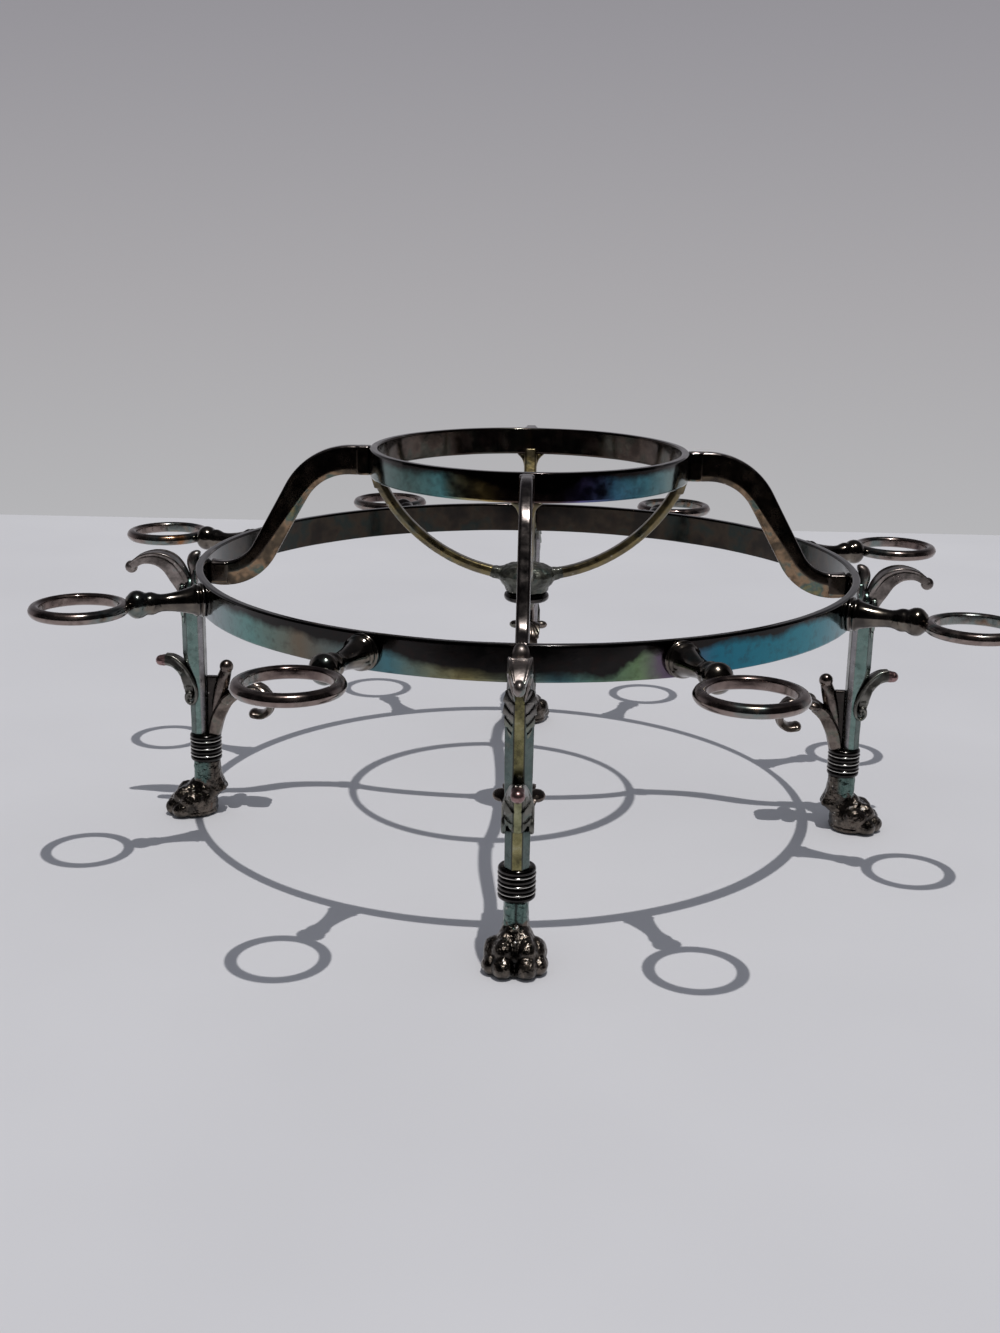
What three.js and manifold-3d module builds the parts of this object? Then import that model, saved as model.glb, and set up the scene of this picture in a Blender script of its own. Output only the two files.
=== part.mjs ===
// Silver-plated epergne frame: two flat hoops, four lion-paw legs, four S-shaped arms, a cradle of four
// ribs for the centre bowl, and eight turned arms that each carry a small vase ring.
// Millimetres, +Z up. The origin is on the table under the middle of the frame, and the four legs stand
// on the X and Y axes. Each leg, arm and rib is drawn once in the radial plane, where x is the distance
// from the axis of the frame and z the height, and then turned about Z to its place.
import * as THREE from "three";
import { mergeVertices } from "three/addons/utils/BufferGeometryUtils.js";
import Module from "manifold-3d";

const wasm = await Module();
wasm.setup();

// Driving dimensions
const SOLDER_GAP = 0.3; // the solder line between pieces that meet
const SEAM_TOLERANCE = 0.2; // how far a sliver may move where shapes are joined or cut
const LOWER_HOOP = { radius: 115, thickness: 2.7, height: 11.3, top: 97.5, facets: 52 };
const UPPER_HOOP = { radius: 55, thickness: 2.6, height: 9.7, top: 137.1, facets: 40 };
const HOOP_EDGE = 0.45; // the small bevel along a hoop's edges
const LEG_AZIMUTHS = { front: -90, right: 0, back: 90, left: 180 };

// The S arms: a flat bar on edge with a keeled underside
const S_ARM = { width: 4.2, height: 8.8, slope: 61, upperBend: 22, lowerBend: 17, upperRun: 6.4, dip: 8 };
const S_ARM_LUG = { upperLength: 5.2, lowerLength: 6.2, width: 5.4, upperHeight: 9.4, lowerHeight: 7.6 };

// The cradle that the centre bowl rests in
const CRADLE = { radius: 58, floor: 92, ribWidth: 5, ribDepth: 3.8, footWidth: 10.5, footDepth: 2.6 };
const HUB = { radius: 12.6, waist: 7.4, top: 96.4, bottom: 86.6, armHeight: 5.4 };
const HUB_BUTTON = { radius: 8, top: 86.3, thickness: 3.2 };

// The eight vase arms, two between each pair of legs
const VASE_ARM_OFFSET = 23.7; // degrees either side of each leg
const VASE_RING = { reach: 154.7, outer: 16.1, inner: 12.2, height: 4.2, facets: 16 };
const VASE_ARM = { bossRadius: 5.6, beadRadius: 5.4, neckRadius: 2.3, knopRadius: 4.7, facets: 8 };

// The legs, from the hoop down to the paw
const LEG = {
  width: 8.2,
  outerFace: 123.1,
  innerFace: LOWER_HOOP.radius + SOLDER_GAP,
  shoulder: 84.3,
  top: 92,
};
const COLLAR = { radius: 5.85, groove: 5.15, bottom: 20.3, top: 31.3, rolls: 4, reach: 116.2 };
const PAW = { width: 19.2, toeReach: 129, height: 13.3 };

const radians = THREE.MathUtils.degToRad;
const lerp = THREE.MathUtils.lerp;

// Solids

// A closed geometry as a solid, with its faces turned outwards.
function solidOf(geometry) {
  const bare = geometry.clone();
  bare.deleteAttribute("normal");
  bare.deleteAttribute("uv");
  const merged = mergeVertices(bare, 1e-4);
  const vertProperties = new Float32Array(merged.attributes.position.array);
  const build = (triVerts) =>
    new wasm.Manifold(new wasm.Mesh({ numProp: 3, vertProperties, triVerts }));
  const triVerts = new Uint32Array(merged.index.array);
  const solid = build(triVerts);
  return solid.volume() < 0 ? build(triVerts.slice().reverse()) : solid;
}

// A solid back as a geometry.
function geometryOf(solid) {
  const { vertProperties, triVerts } = solid.getMesh();
  return new THREE.BufferGeometry()
    .setAttribute("position", new THREE.BufferAttribute(new Float32Array(vertProperties), 3))
    .setIndex(new THREE.BufferAttribute(new Uint32Array(triVerts), 1));
}

// The union of closed geometries, less the slivers along its seams.
function join(...geometries) {
  const union = geometries.map(solidOf).reduce((sum, solid) => sum.add(solid));
  return geometryOf(union.simplify(SEAM_TOLERANCE));
}

// The first geometry less the others.
function cut(geometry, ...tools) {
  const left = tools.map(solidOf).reduce((solid, tool) => solid.subtract(tool), solidOf(geometry));
  return geometryOf(left.simplify(SEAM_TOLERANCE));
}

// A post on the axis of the frame, to seat a piece against a hoop.
function axialPost(radius, facets) {
  return new THREE.CylinderGeometry(radius, radius, 400, facets).rotateX(Math.PI / 2).rotateZ(Math.PI / 2);
}

// The part of a geometry between two distances from the axis of the frame.
function between(geometry, inner, outer) {
  const shell = solidOf(axialPost(outer, LOWER_HOOP.facets)).subtract(
    solidOf(axialPost(inner, UPPER_HOOP.facets)),
  );
  return geometryOf(solidOf(geometry).intersect(shell));
}

// The part of a leg piece above a height.
function above(geometry, z) {
  return cut(geometry, block([60, -30, z - 30], [160, 30, z]));
}

// Skins a row of stations, which are rings of the same number of points, and caps both ends.
// The caps follow the flat outline that the stations share.
function loft(stations, outline) {
  const count = outline.length;
  const last = (stations.length - 1) * count;
  const index = [];
  for (let start = 0; start < last; start += count)
    for (let i = 0; i < count; i++) {
      const next = (i + 1) % count;
      index.push(start + i, start + next, start + next + count);
      index.push(start + i, start + next + count, start + i + count);
    }
  const contour = outline.map(([x, y]) => new THREE.Vector2(x, y));
  for (const [a, b, c] of THREE.ShapeUtils.triangulateShape(contour, [])) {
    index.push(a, c, b);
    index.push(last + a, last + b, last + c);
  }
  const positions = stations.flat().flatMap((point) => point.toArray());
  return geometryOf(
    solidOf(
      new THREE.BufferGeometry()
        .setAttribute("position", new THREE.Float32BufferAttribute(positions, 3))
        .setIndex(index),
    ),
  );
}

// The points and directions along a path of lines and arcs: one step for each line, and for each arc a
// step about every turn degrees.
function stepsAlong(path, turn) {
  const steps = [];
  for (const curve of path.curves) {
    const sweep = curve.isEllipseCurve ? Math.abs(curve.aEndAngle - curve.aStartAngle) : 0;
    const divisions = Math.max(1, Math.round(THREE.MathUtils.radToDeg(sweep) / turn));
    for (let i = steps.length ? 1 : 0; i <= divisions; i++)
      steps.push({ at: curve.getPoint(i / divisions), along: curve.getTangent(i / divisions) });
  }
  return steps;
}

// The points and directions at even steps along a smooth curve.
function evenSteps(curve, divisions) {
  return Array.from({ length: divisions + 1 }, (_, i) => ({
    at: curve.getPointAt(i / divisions),
    along: curve.getTangentAt(i / divisions),
  }));
}

// Sweeps an outline along steps in the radial plane. The outline's points are [across, up], in halves of
// the width and depth that size(t) gives, with up on the left of the direction of travel.
function sweep(steps, outline, size) {
  const stations = steps.map(({ at, along }, i) => {
    const [width, depth] = size(i / (steps.length - 1));
    return outline.map(([across, up]) => {
      const offset = (up * depth) / 2;
      return new THREE.Vector3(
        at.x - along.y * offset,
        (across * width) / 2,
        at.y + along.x * offset,
      );
    });
  });
  return loft(stations, outline);
}

// A smooth curve through a few points of the radial plane.
function curveThrough(...points) {
  return new THREE.SplineCurve(points.map(([x, z]) => new THREE.Vector2(x, z)));
}

// A round body from a profile of [radius, height] pairs, turned about Z.
function turned(profile, facets) {
  const lathe = new THREE.LatheGeometry(
    profile.map(([radius, height]) => new THREE.Vector2(radius, height)),
    facets,
  );
  return geometryOf(solidOf(lathe.rotateX(Math.PI / 2)));
}

// A rounded lump at a point, stretched along each axis.
function lump(at, radii, detail = 1) {
  return new THREE.OctahedronGeometry(1, detail).scale(...radii).translate(...at);
}

// A block between two corners.
function block([x0, y0, z0], [x1, y1, z1]) {
  const geometry = new THREE.BoxGeometry(x1 - x0, y1 - y0, z1 - z0);
  return geometry.translate((x0 + x1) / 2, (y0 + y1) / 2, (z0 + z1) / 2);
}

// Blends between pairs of [t, value] along t.
function graded(t, ...stops) {
  const upper = stops.findIndex(([at]) => at >= t);
  if (upper <= 0) return stops.at(upper)[1];
  const [t0, v0] = stops[upper - 1];
  const [t1, v1] = stops[upper];
  return lerp(v0, v1, (t - t0) / (t1 - t0));
}

// Outlines of [across, up], from -1 to 1

const CHAMFERED_BAR = [
  [-0.45, -1], [0.45, -1], [1, -0.5], [1, 0.5], [0.45, 1], [-0.45, 1], [-1, 0.5], [-1, -0.5],
];
const KEELED_BAR = [
  [-0.3, -1], [0.3, -1], [1, 0], [1, 0.86], [0.72, 1], [-0.72, 1], [-1, 0.86], [-1, 0],
];
const RIB_BAR = [[-0.35, -1], [0.35, -1], [1, -0.1], [0.8, 1], [-0.8, 1], [-1, -0.1]];
const FLUTED_STRAP = [
  [-1, -1], [-0.5, -0.35], [0.5, -0.35], [1, -1], [1, 0.4], [0.5, 1], [-0.5, 1], [-1, 0.4],
];
const LEAF = [[-1, 0.2], [0, -1], [1, 0.2], [0.55, 1], [-0.55, 1]];
const CALYX = [[-1, -1], [1, -1], [1, 0], [0.3, 1], [-0.3, 1], [-1, 0]];
const BRACKET = [[-1, 0], [1, 0], [1, 0.6], [0.6, 1], [-0.6, 1], [-1, 0.6]];
const ROUND = [[0, -1], [0.7, -0.7], [1, 0], [0.7, 0.7], [0, 1], [-0.7, 0.7], [-1, 0], [-0.7, -0.7]];

// Hoops

// A flat band standing on edge, with small bevels along its four edges.
function hoop({ radius, thickness, height, top, facets }) {
  const inner = radius - thickness;
  const bottom = top - height;
  return turned(
    [
      [inner, bottom + HOOP_EDGE],
      [inner + HOOP_EDGE, bottom],
      [radius - HOOP_EDGE, bottom],
      [radius, bottom + HOOP_EDGE],
      [radius, top - HOOP_EDGE],
      [radius - HOOP_EDGE, top],
      [inner + HOOP_EDGE, top],
      [inner, top - HOOP_EDGE],
      [inner, bottom + HOOP_EDGE],
    ],
    facets,
  );
}

// S arms

// The line of an S arm, from the upper hoop out and down to the inside of the lower hoop.
function sArmPath() {
  const { slope, upperBend, lowerBend, upperRun, dip } = S_ARM;
  const start = UPPER_HOOP.radius + SOLDER_GAP;
  const end = LOWER_HOOP.radius - LOWER_HOOP.thickness;
  const height = UPPER_HOOP.top - UPPER_HOOP.height / 2;
  const fall = radians(slope);
  const rise = radians(dip);
  const upperCentre = new THREE.Vector2(start + upperRun, height - upperBend);
  const bendEnd = upperCentre.clone().add(
    new THREE.Vector2(Math.sin(fall), Math.cos(fall)).multiplyScalar(upperBend),
  );
  const lowerEndHeight = LOWER_HOOP.top - LOWER_HOOP.height / 2 - 1;
  const lowerRise = lowerBend * (Math.cos(rise) - Math.cos(fall));
  const straight = (bendEnd.y - lowerEndHeight - lowerRise) / Math.sin(fall);
  const straightEnd = bendEnd.clone().add(
    new THREE.Vector2(Math.cos(fall), -Math.sin(fall)).multiplyScalar(straight),
  );
  const lowerCentre = straightEnd.clone().add(
    new THREE.Vector2(Math.sin(fall), Math.cos(fall)).multiplyScalar(lowerBend),
  );
  const path = new THREE.Path();
  path.moveTo(start - 1, height);
  path.lineTo(start + upperRun, height);
  path.absarc(upperCentre.x, upperCentre.y, upperBend, Math.PI / 2, Math.PI / 2 - fall, true);
  path.lineTo(straightEnd.x, straightEnd.y);
  path.absarc(
    lowerCentre.x, lowerCentre.y, lowerBend, 1.5 * Math.PI - fall, 1.5 * Math.PI + rise, false,
  );
  const tail = path.currentPoint;
  path.lineTo(end, tail.y + (end - tail.x) * Math.tan(rise));
  return path;
}

// A lug is the squared end that is soldered to a hoop.
function sArm() {
  const bar = sweep(stepsAlong(sArmPath(), 12), KEELED_BAR, () => [S_ARM.width, S_ARM.height]);
  const { upperLength, lowerLength, width, upperHeight, lowerHeight } = S_ARM_LUG;
  const upperStart = UPPER_HOOP.radius + SOLDER_GAP;
  const upperMiddle = UPPER_HOOP.top - UPPER_HOOP.height / 2;
  const lowerEnd = LOWER_HOOP.radius - LOWER_HOOP.thickness - SOLDER_GAP;
  const lowerMiddle = LOWER_HOOP.top - LOWER_HOOP.height / 2 - 0.7;
  const upperLug = block(
    [upperStart - 2, -width / 2, upperMiddle - upperHeight / 2],
    [upperStart + upperLength, width / 2, upperMiddle + upperHeight / 2 - 0.4],
  );
  const lowerLug = block(
    [lowerEnd - lowerLength, -width / 2, lowerMiddle - lowerHeight / 2],
    [lowerEnd + 2, width / 2, lowerMiddle + lowerHeight / 2],
  );
  return between(join(bar, upperLug, lowerLug), upperStart, lowerEnd);
}

// Cradle

// The arc that the ribs follow, between two distances from the axis.
function cradleArc(from, to) {
  const { radius, floor } = CRADLE;
  const angleAt = (reach) => Math.asin(reach / radius) - Math.PI / 2;
  const path = new THREE.Path();
  path.absarc(0, floor + radius, radius, angleAt(from), angleAt(to), false);
  return path;
}

// A rib from the hub up to the underside of the upper hoop, where it spreads into a filleted foot.
function cradleRib() {
  const { ribWidth, ribDepth, footWidth, footDepth } = CRADLE;
  const reach = UPPER_HOOP.radius - UPPER_HOOP.thickness / 2;
  const hoopBottom = UPPER_HOOP.top - UPPER_HOOP.height;
  const bar = sweep(stepsAlong(cradleArc(HUB.radius + SOLDER_GAP, reach + 0.4), 7), RIB_BAR, () => [
    ribWidth,
    ribDepth,
  ]);
  const foot = loft(
    [
      [hoopBottom - SOLDER_GAP, footWidth, footDepth],
      [hoopBottom - SOLDER_GAP - 0.7, footWidth - 1.6, footDepth],
      [hoopBottom - SOLDER_GAP - 2, ribWidth + 1.2, footDepth],
      [hoopBottom - SOLDER_GAP - 4.5, ribWidth - 0.4, footDepth],
    ].map(([z, width, depth]) =>
      [[-1, -1], [1, -1], [1, 1], [-1, 1]].map(
        ([across, out]) =>
          new THREE.Vector3(
            reach + (out * depth) / 2 - (hoopBottom - z) * 0.3,
            (across * width) / 2,
            z,
          ),
      ),
    ),
    [[-1, -1], [1, -1], [1, 1], [-1, 1]],
  );
  const lid = block([0, -20, hoopBottom - SOLDER_GAP], [80, 20, hoopBottom + 20]);
  return cut(join(bar, foot), lid);
}

// The hub: a concave cone with a short stub towards each rib.
function cradleHub() {
  const { radius, waist, top, bottom, armHeight } = HUB;
  const cone = turned(
    [
      [0, bottom], [waist, bottom], [waist + 0.3, bottom + 1.2], [waist + 1.6, bottom + 2.8],
      [radius - 2.6, bottom + 4.6], [radius - 3, top - 2], [radius - 5.6, top - 0.6], [0, top],
    ],
    16,
  );
  const stubs = Object.values(LEG_AZIMUTHS).map((azimuth) =>
    sweep(stepsAlong(cradleArc(3, radius), 5), RIB_BAR, (t) => [
      lerp(9, CRADLE.ribWidth + 0.2, t),
      lerp(armHeight, CRADLE.ribDepth + 0.2, t),
    ]).rotateZ(radians(azimuth)),
  );
  return join(cone, ...stubs);
}

// The turned button under the hub, rounded all the way round its rim.
function hubButton() {
  const { radius, top, thickness } = HUB_BUTTON;
  const half = thickness / 2;
  const rim = Array.from({ length: 7 }, (_, i) => {
    const angle = radians(lerp(-90, 90, i / 6));
    return [radius - half + half * Math.cos(angle), top - half + half * Math.sin(angle)];
  });
  return turned([[0, top - thickness - 0.8], [3.4, top - thickness - 0.3], ...rim, [0, top]], 16);
}

// Vase arms

// A turned arm: a boss with a double bead at the hoop, a taper to the neck, and a knop at the ring.
function vaseArm() {
  const { bossRadius, beadRadius, neckRadius, knopRadius, facets } = VASE_ARM;
  const start = LOWER_HOOP.radius + 0.35;
  const end = VASE_RING.reach - VASE_RING.outer - SOLDER_GAP;
  const profile = [
    [0, start], [bossRadius, start], [bossRadius, start + 1.1], [beadRadius - 0.6, start + 1.5],
    [beadRadius, start + 2.3], [beadRadius - 0.7, start + 3.1], [neckRadius + 1.1, start + 7],
    [neckRadius, start + 12.5], [neckRadius + 0.1, start + 15], [neckRadius + 1.3, start + 16.4],
    [neckRadius + 1, start + 17.7], [knopRadius - 0.5, start + 18.9], [knopRadius, start + 20.7],
    [knopRadius - 0.5, start + 22.4], [knopRadius - 1.3, end + 1.2], [0, end + 1.2],
  ];
  const body = turned(profile, facets).rotateY(Math.PI / 2);
  const seat = new THREE.CylinderGeometry(
    VASE_RING.outer + SOLDER_GAP, VASE_RING.outer + SOLDER_GAP, 20, 2 * VASE_RING.facets,
  );
  seat.rotateX(Math.PI / 2).translate(VASE_RING.reach, 0, 0);
  return cut(body, seat).translate(0, 0, LOWER_HOOP.top - LOWER_HOOP.height / 2);
}

// A vase ring: flat inside, half round outside, about its own axis at the end of the arm.
function vaseRing() {
  const { reach, outer, inner, height, facets } = VASE_RING;
  const half = height / 2;
  const ring = turned(
    [
      [inner, -0.7 * half], [inner + 1.4, -half], [outer, -0.5 * half], [outer, 0.5 * half],
      [inner + 1.4, half], [inner, 0.7 * half], [inner, -0.7 * half],
    ],
    facets,
  );
  return ring.translate(reach, 0, LOWER_HOOP.top - LOWER_HOOP.height / 2);
}

// Legs

// The column: a bar with chamfered corners, hollowed in front for the outer leaf, with the calyx of lobes
// that the top scroll springs from and the flat bracket that is soldered to the hoop.
function legColumn() {
  const { width, outerFace, innerFace, shoulder, top } = LEG;
  const bar = loft(
    [
      [COLLAR.top + SOLDER_GAP, outerFace - 2, width - 0.8],
      [42, outerFace - 1.9, width - 0.6],
      [44.5, outerFace - 3.6, width - 0.6],
      [49, outerFace - 5.4, width - 0.4],
      [54, outerFace - 4.4, width - 0.2],
      [60, outerFace - 1, width],
      [65, outerFace, width],
      [shoulder, outerFace, width + 0.4],
    ].map(([z, outer, across]) =>
      CHAMFERED_BAR.map(
        ([x, y]) =>
          new THREE.Vector3(lerp(innerFace, outer, (y + 1) / 2), (x * across) / 2, z),
      ),
    ),
    CHAMFERED_BAR,
  );
  const calyx = loft(
    [
      [66.5, 3.6, 0.2], [70, 7.2, 0.7], [72, 9.4, 0.8], [73, 8.4, 0.8], [78, 10.4, 1], [shoulder, 8.6, 1.2],
    ].map(([z, across, proud]) =>
      CALYX.map(
        ([x, y]) =>
          new THREE.Vector3(outerFace - 2.4 + y * (y > 0 ? 2.4 + proud : 2.2), (x * across) / 2, z),
      ),
    ),
    CALYX,
  );
  const bracket = loft(
    [[shoulder - 2, width], [88, width - 0.8], [top, width - 2.2]].map(([z, across]) =>
      BRACKET.map(([x, y]) => new THREE.Vector3(innerFace + 3.9 * y, (x * across) / 2, z)),
    ),
    BRACKET,
  );
  return join(bar, calyx, bracket);
}

// The scroll that rises from the shoulder, arches out and droops to a ball. Its underside is hollow.
function topScroll() {
  const curve = curveThrough(
    [121.6, LEG.shoulder - 1], [123, 88.8], [126.4, 93.5], [130.8, 95.8], [135.8, 95.3], [139.8, 92.6],
  );
  const strap = sweep(evenSteps(curve, 9), FLUTED_STRAP, (t) => [
    graded(t, [0, 7.6], [0.6, 6.4], [1, 4]),
    graded(t, [0, 4], [0.3, 5.6], [0.55, 4.6], [0.8, 3.2], [1, 2.2]),
  ]);
  const ball = lump([140.8, 0, 92.1], [2.2, 2.4, 2.2]);
  return above(join(strap, ball), LEG.shoulder + SOLDER_GAP);
}

// The small horn between the top scroll and the hoop, which curls in over the hoop's edge.
function topBud() {
  const curve = curveThrough([117.5, LEG.top - 1], [118.1, 94.6], [117.6, 97], [116, 98.2]);
  const horn = sweep(evenSteps(curve, 5), CHAMFERED_BAR, (t) => [
    graded(t, [0, 5.4], [0.6, 5], [1, 3.6]),
    graded(t, [0, 3.8], [0.5, 3.9], [1, 2.4]),
  ]);
  return above(horn, LEG.top + SOLDER_GAP);
}

// The leaf on the outer face, which peels away from the column and ends in a ball. Three pairs of lobes
// notch its edges, and a small volute stands at each side of its base.
function outerLeaf() {
  const curve = curveThrough(
    [121, 43.4], [120.9, 47], [121.3, 51], [123.2, 55.2], [126.6, 58.2], [131, 59.2],
  );
  const blade = sweep(evenSteps(curve, 11), LEAF, (t) => [
    graded(
      t, [0, 3.4], [0.08, 6], [0.23, 9.2], [0.31, 7.8], [0.39, 9.4], [0.47, 7.6], [0.55, 8.2],
      [0.7, 5.8], [1, 3.6],
    ),
    graded(t, [0, 0.8], [0.15, 3], [0.35, 4.1], [0.6, 3.5], [0.8, 2.6], [1, 2]),
  ]);
  const volutes = [-1, 1].map((side) => lump([120.6, side * 3, 45.8], [1.6, 1.4, 1.9]));
  return join(blade, ...volutes, lump([131.6, 0, 59.1], [2.05, 2.3, 2.05]));
}

// The leaf on the inner side: a stem from the collar that arches in, spreads two lobes, and rolls under.
function innerLeaf() {
  const curve = curveThrough(
    [113.2, COLLAR.top - 1], [112, 37], [108.8, 43.2], [104, 47.2], [98, 48.6], [92.6, 45.6],
    [91.6, 40.8], [94.6, 37.4], [99, 38],
  );
  const blade = sweep(evenSteps(curve, 15), LEAF, (t) => [
    graded(t, [0, 6.8], [0.3, 7.4], [0.44, 14], [0.52, 9.6], [0.6, 10.6], [0.68, 7.6], [1, 6.2]),
    graded(t, [0, 3.9], [0.25, 3.6], [0.45, 2.6], [1, 2]),
  ]);
  const lobes = [-1, 1].map((side) => lump([103.2, side * 6.6, 48.4], [2.4, 2.4, 2.1]));
  const tip = lump([99, 0, 38.2], [1.9, 3.3, 1.9]);
  return above(join(blade, ...lobes, tip), COLLAR.top + SOLDER_GAP);
}

// The bud in the crotch between the column and the inner leaf: a web that fills the crotch, and a finger
// on it that leans in to a ball.
function innerBud() {
  const inset = 0.7;
  const face = LEG.innerFace - SOLDER_GAP - inset;
  const side = new THREE.Shape();
  side.moveTo(face, 39.6);
  side.lineTo(face, 52.8);
  side.quadraticCurveTo(112.8, 50.6, 110.7, 54.6);
  side.lineTo(106.8, 54.6);
  side.quadraticCurveTo(107.4, 50.6, 108.8, 48.2);
  side.lineTo(111.4, 45);
  side.closePath();
  const body = new THREE.ExtrudeGeometry(side, {
    depth: 3.2, curveSegments: 4, bevelSize: inset, bevelThickness: 0.9, bevelSegments: 1,
  });
  body.rotateX(Math.PI / 2).translate(0, 1.6, 0);
  return join(body, lump([107.9, 0, 55.9], [2.5, 2.5, 2.5]));
}

// The collar: a stack of half-round rolls that binds the foot of the column.
function collar() {
  const { radius, groove, bottom, top, rolls, reach } = COLLAR;
  const pitch = (top - bottom) / rolls;
  const profile = [[0, bottom]];
  for (let roll = 0; roll < rolls; roll++) {
    const base = bottom + roll * pitch;
    profile.push([groove, base], [radius, base + 0.3 * pitch], [radius, base + 0.7 * pitch]);
  }
  profile.push([groove, top], [0, top]);
  return turned(profile, 10).translate(reach, 0, 0);
}

// A toe of the paw: three soft knuckles that step forward and down to the table.
function toe(side, girth, ...points) {
  const knuckles = sweep(evenSteps(curveThrough(...points), 10), ROUND, (t) => {
    const swell = graded(
      t, [0, 0.8], [0.2, 1], [0.32, 0.9], [0.45, 1.02], [0.58, 0.92], [0.75, 1.06], [1, 0.96],
    );
    return [girth * swell, girth * swell];
  });
  return knuckles.translate(0, side, 0);
}

// The lion's paw: a shank with a spur behind, a heel, a broad foot, and four toes.
function paw() {
  const { width, toeReach, height } = PAW;
  const shank = loft(
    [
      [COLLAR.bottom - SOLDER_GAP, 111.6, 120.5, 7.6],
      [15, 111, 120.5, 7.8],
      [11, 109.3, 120.6, 8],
      [9.6, 108.8, 121, 8.4],
      [8.2, 111.6, 121, 8.6],
      [4, 112, 121, 8.6],
    ].map(([z, inner, outer, across]) =>
      CHAMFERED_BAR.map(
        ([x, y]) => new THREE.Vector3(lerp(inner, outer, (y + 1) / 2), (x * across) / 2, z),
      ),
    ),
    CHAMFERED_BAR,
  );
  const foot = lump([120, 0, 4.6], [10, 0.44 * width, 7.8], 2);
  const heel = lump([113.8, 0, 3.6], [4.6, 5.8, 4]);
  const toes = [-1, 1].flatMap((side) => [
    toe(
      side * 3.2, 6.6,
      [toeReach - 9.6, height - 3.5], [toeReach - 5.4, height - 4], [toeReach - 1.8, 6.6],
      [toeReach - 0.3, 3.2], [toeReach - 0.2, -0.6],
    ),
    toe(
      side * (width / 2 - 2.6), 5.2,
      [toeReach - 12, height - 5], [toeReach - 8, height - 5.6], [toeReach - 5, 5],
      [toeReach - 3.6, 2.4], [toeReach - 3.4, -0.6],
    ),
  ]);
  const tableTop = block([90, -30, -10], [150, 30, 0]);
  return cut(join(shank, foot, heel, ...toes), tableTop);
}

// Finishes

const finish = (color, roughness, metalness = 1) => () =>
  new THREE.MeshStandardMaterial({ color, roughness, metalness });
const tarnishedSilver = finish("#3a3a3c", 0.28);
const blueTarnish = finish("#2f5a63", 0.3);
const castTarnish = finish("#5c6a62", 0.45);
const verdigrisTarnish = finish("#587a74", 0.4);
const pewterTarnish = finish("#3b352d", 0.35);
const mauveTarnish = finish("#6b5a57", 0.3);

// Assembly

const frame = new THREE.Group();

function place(parent, name, geometry, material) {
  const mesh = new THREE.Mesh(geometry.clone(), material());
  mesh.name = name;
  parent.add(mesh);
}

function turnedGroup(azimuth) {
  const group = new THREE.Group();
  group.rotation.z = radians(azimuth);
  frame.add(group);
  return group;
}

place(frame, "lower_hoop", hoop(LOWER_HOOP), blueTarnish);
place(frame, "upper_hoop", hoop(UPPER_HOOP), blueTarnish);
place(frame, "cradle_hub", cradleHub(), castTarnish);
place(frame, "hub_button", hubButton(), tarnishedSilver);

const quarterPieces = [
  ["s_arm", sArm(), tarnishedSilver],
  ["cradle_rib", cradleRib(), castTarnish],
  ["leg_column", legColumn(), verdigrisTarnish],
  ["leg_top_scroll", topScroll(), tarnishedSilver],
  ["leg_top_bud", topBud(), tarnishedSilver],
  ["leg_outer_leaf", outerLeaf(), castTarnish],
  ["leg_inner_leaf", innerLeaf(), castTarnish],
  ["leg_inner_bud", innerBud(), tarnishedSilver],
  ["leg_collar", collar(), tarnishedSilver],
  ["leg_paw", paw(), pewterTarnish],
];
for (const [side, azimuth] of Object.entries(LEG_AZIMUTHS)) {
  const quarter = turnedGroup(azimuth);
  for (const [name, geometry, material] of quarterPieces)
    place(quarter, `${side}_${name}`, geometry, material);
}

const vaseArmAzimuths = Object.values(LEG_AZIMUTHS).flatMap((azimuth) => [
  azimuth - VASE_ARM_OFFSET,
  azimuth + VASE_ARM_OFFSET,
]);
const armGeometry = vaseArm();
const ringGeometry = vaseRing();
vaseArmAzimuths.forEach((azimuth, i) => {
  const spoke = turnedGroup(azimuth);
  place(spoke, `vase_arm_${i + 1}`, armGeometry, tarnishedSilver);
  place(spoke, `vase_ring_${i + 1}`, ringGeometry, mauveTarnish);
});

export default frame;
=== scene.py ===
"""The visible finish of a tarnished silver-plated epergne frame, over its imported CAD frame.

Sizes in the classes are in millimetres. Each leg, arm and rib is drawn once in the radial plane on
+X, where the first number is the distance from the frame's axis and the second the height, and a
Geometry Nodes tree repeats it about Z.
"""
import logging
import math
from collections.abc import Callable, Iterable, Sequence
from dataclasses import dataclass
from enum import Enum
from typing import Self

import bmesh
import bpy
import numpy as np
from mathutils import Matrix, Vector


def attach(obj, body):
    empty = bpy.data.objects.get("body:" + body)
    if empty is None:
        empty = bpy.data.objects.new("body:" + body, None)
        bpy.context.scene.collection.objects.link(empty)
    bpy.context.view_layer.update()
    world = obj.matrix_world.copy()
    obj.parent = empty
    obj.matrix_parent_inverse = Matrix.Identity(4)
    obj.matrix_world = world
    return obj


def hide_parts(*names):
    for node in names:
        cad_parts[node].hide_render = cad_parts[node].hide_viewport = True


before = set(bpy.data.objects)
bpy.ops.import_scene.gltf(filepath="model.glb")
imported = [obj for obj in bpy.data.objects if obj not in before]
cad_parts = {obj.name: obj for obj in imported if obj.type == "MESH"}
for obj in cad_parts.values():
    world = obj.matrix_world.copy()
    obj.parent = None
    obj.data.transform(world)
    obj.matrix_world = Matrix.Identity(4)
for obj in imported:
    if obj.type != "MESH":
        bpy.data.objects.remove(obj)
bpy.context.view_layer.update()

MM = 0.001
SIDES = ("front", "right", "back", "left")
FRONT_AZIMUTH = -90.0
# The radius at which a turned end is capped.
CORE = 0.2
# Nearly all of a cloud's numbers lie between these.
CLOUD_SPAN = (0.3, 0.7)

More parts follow.
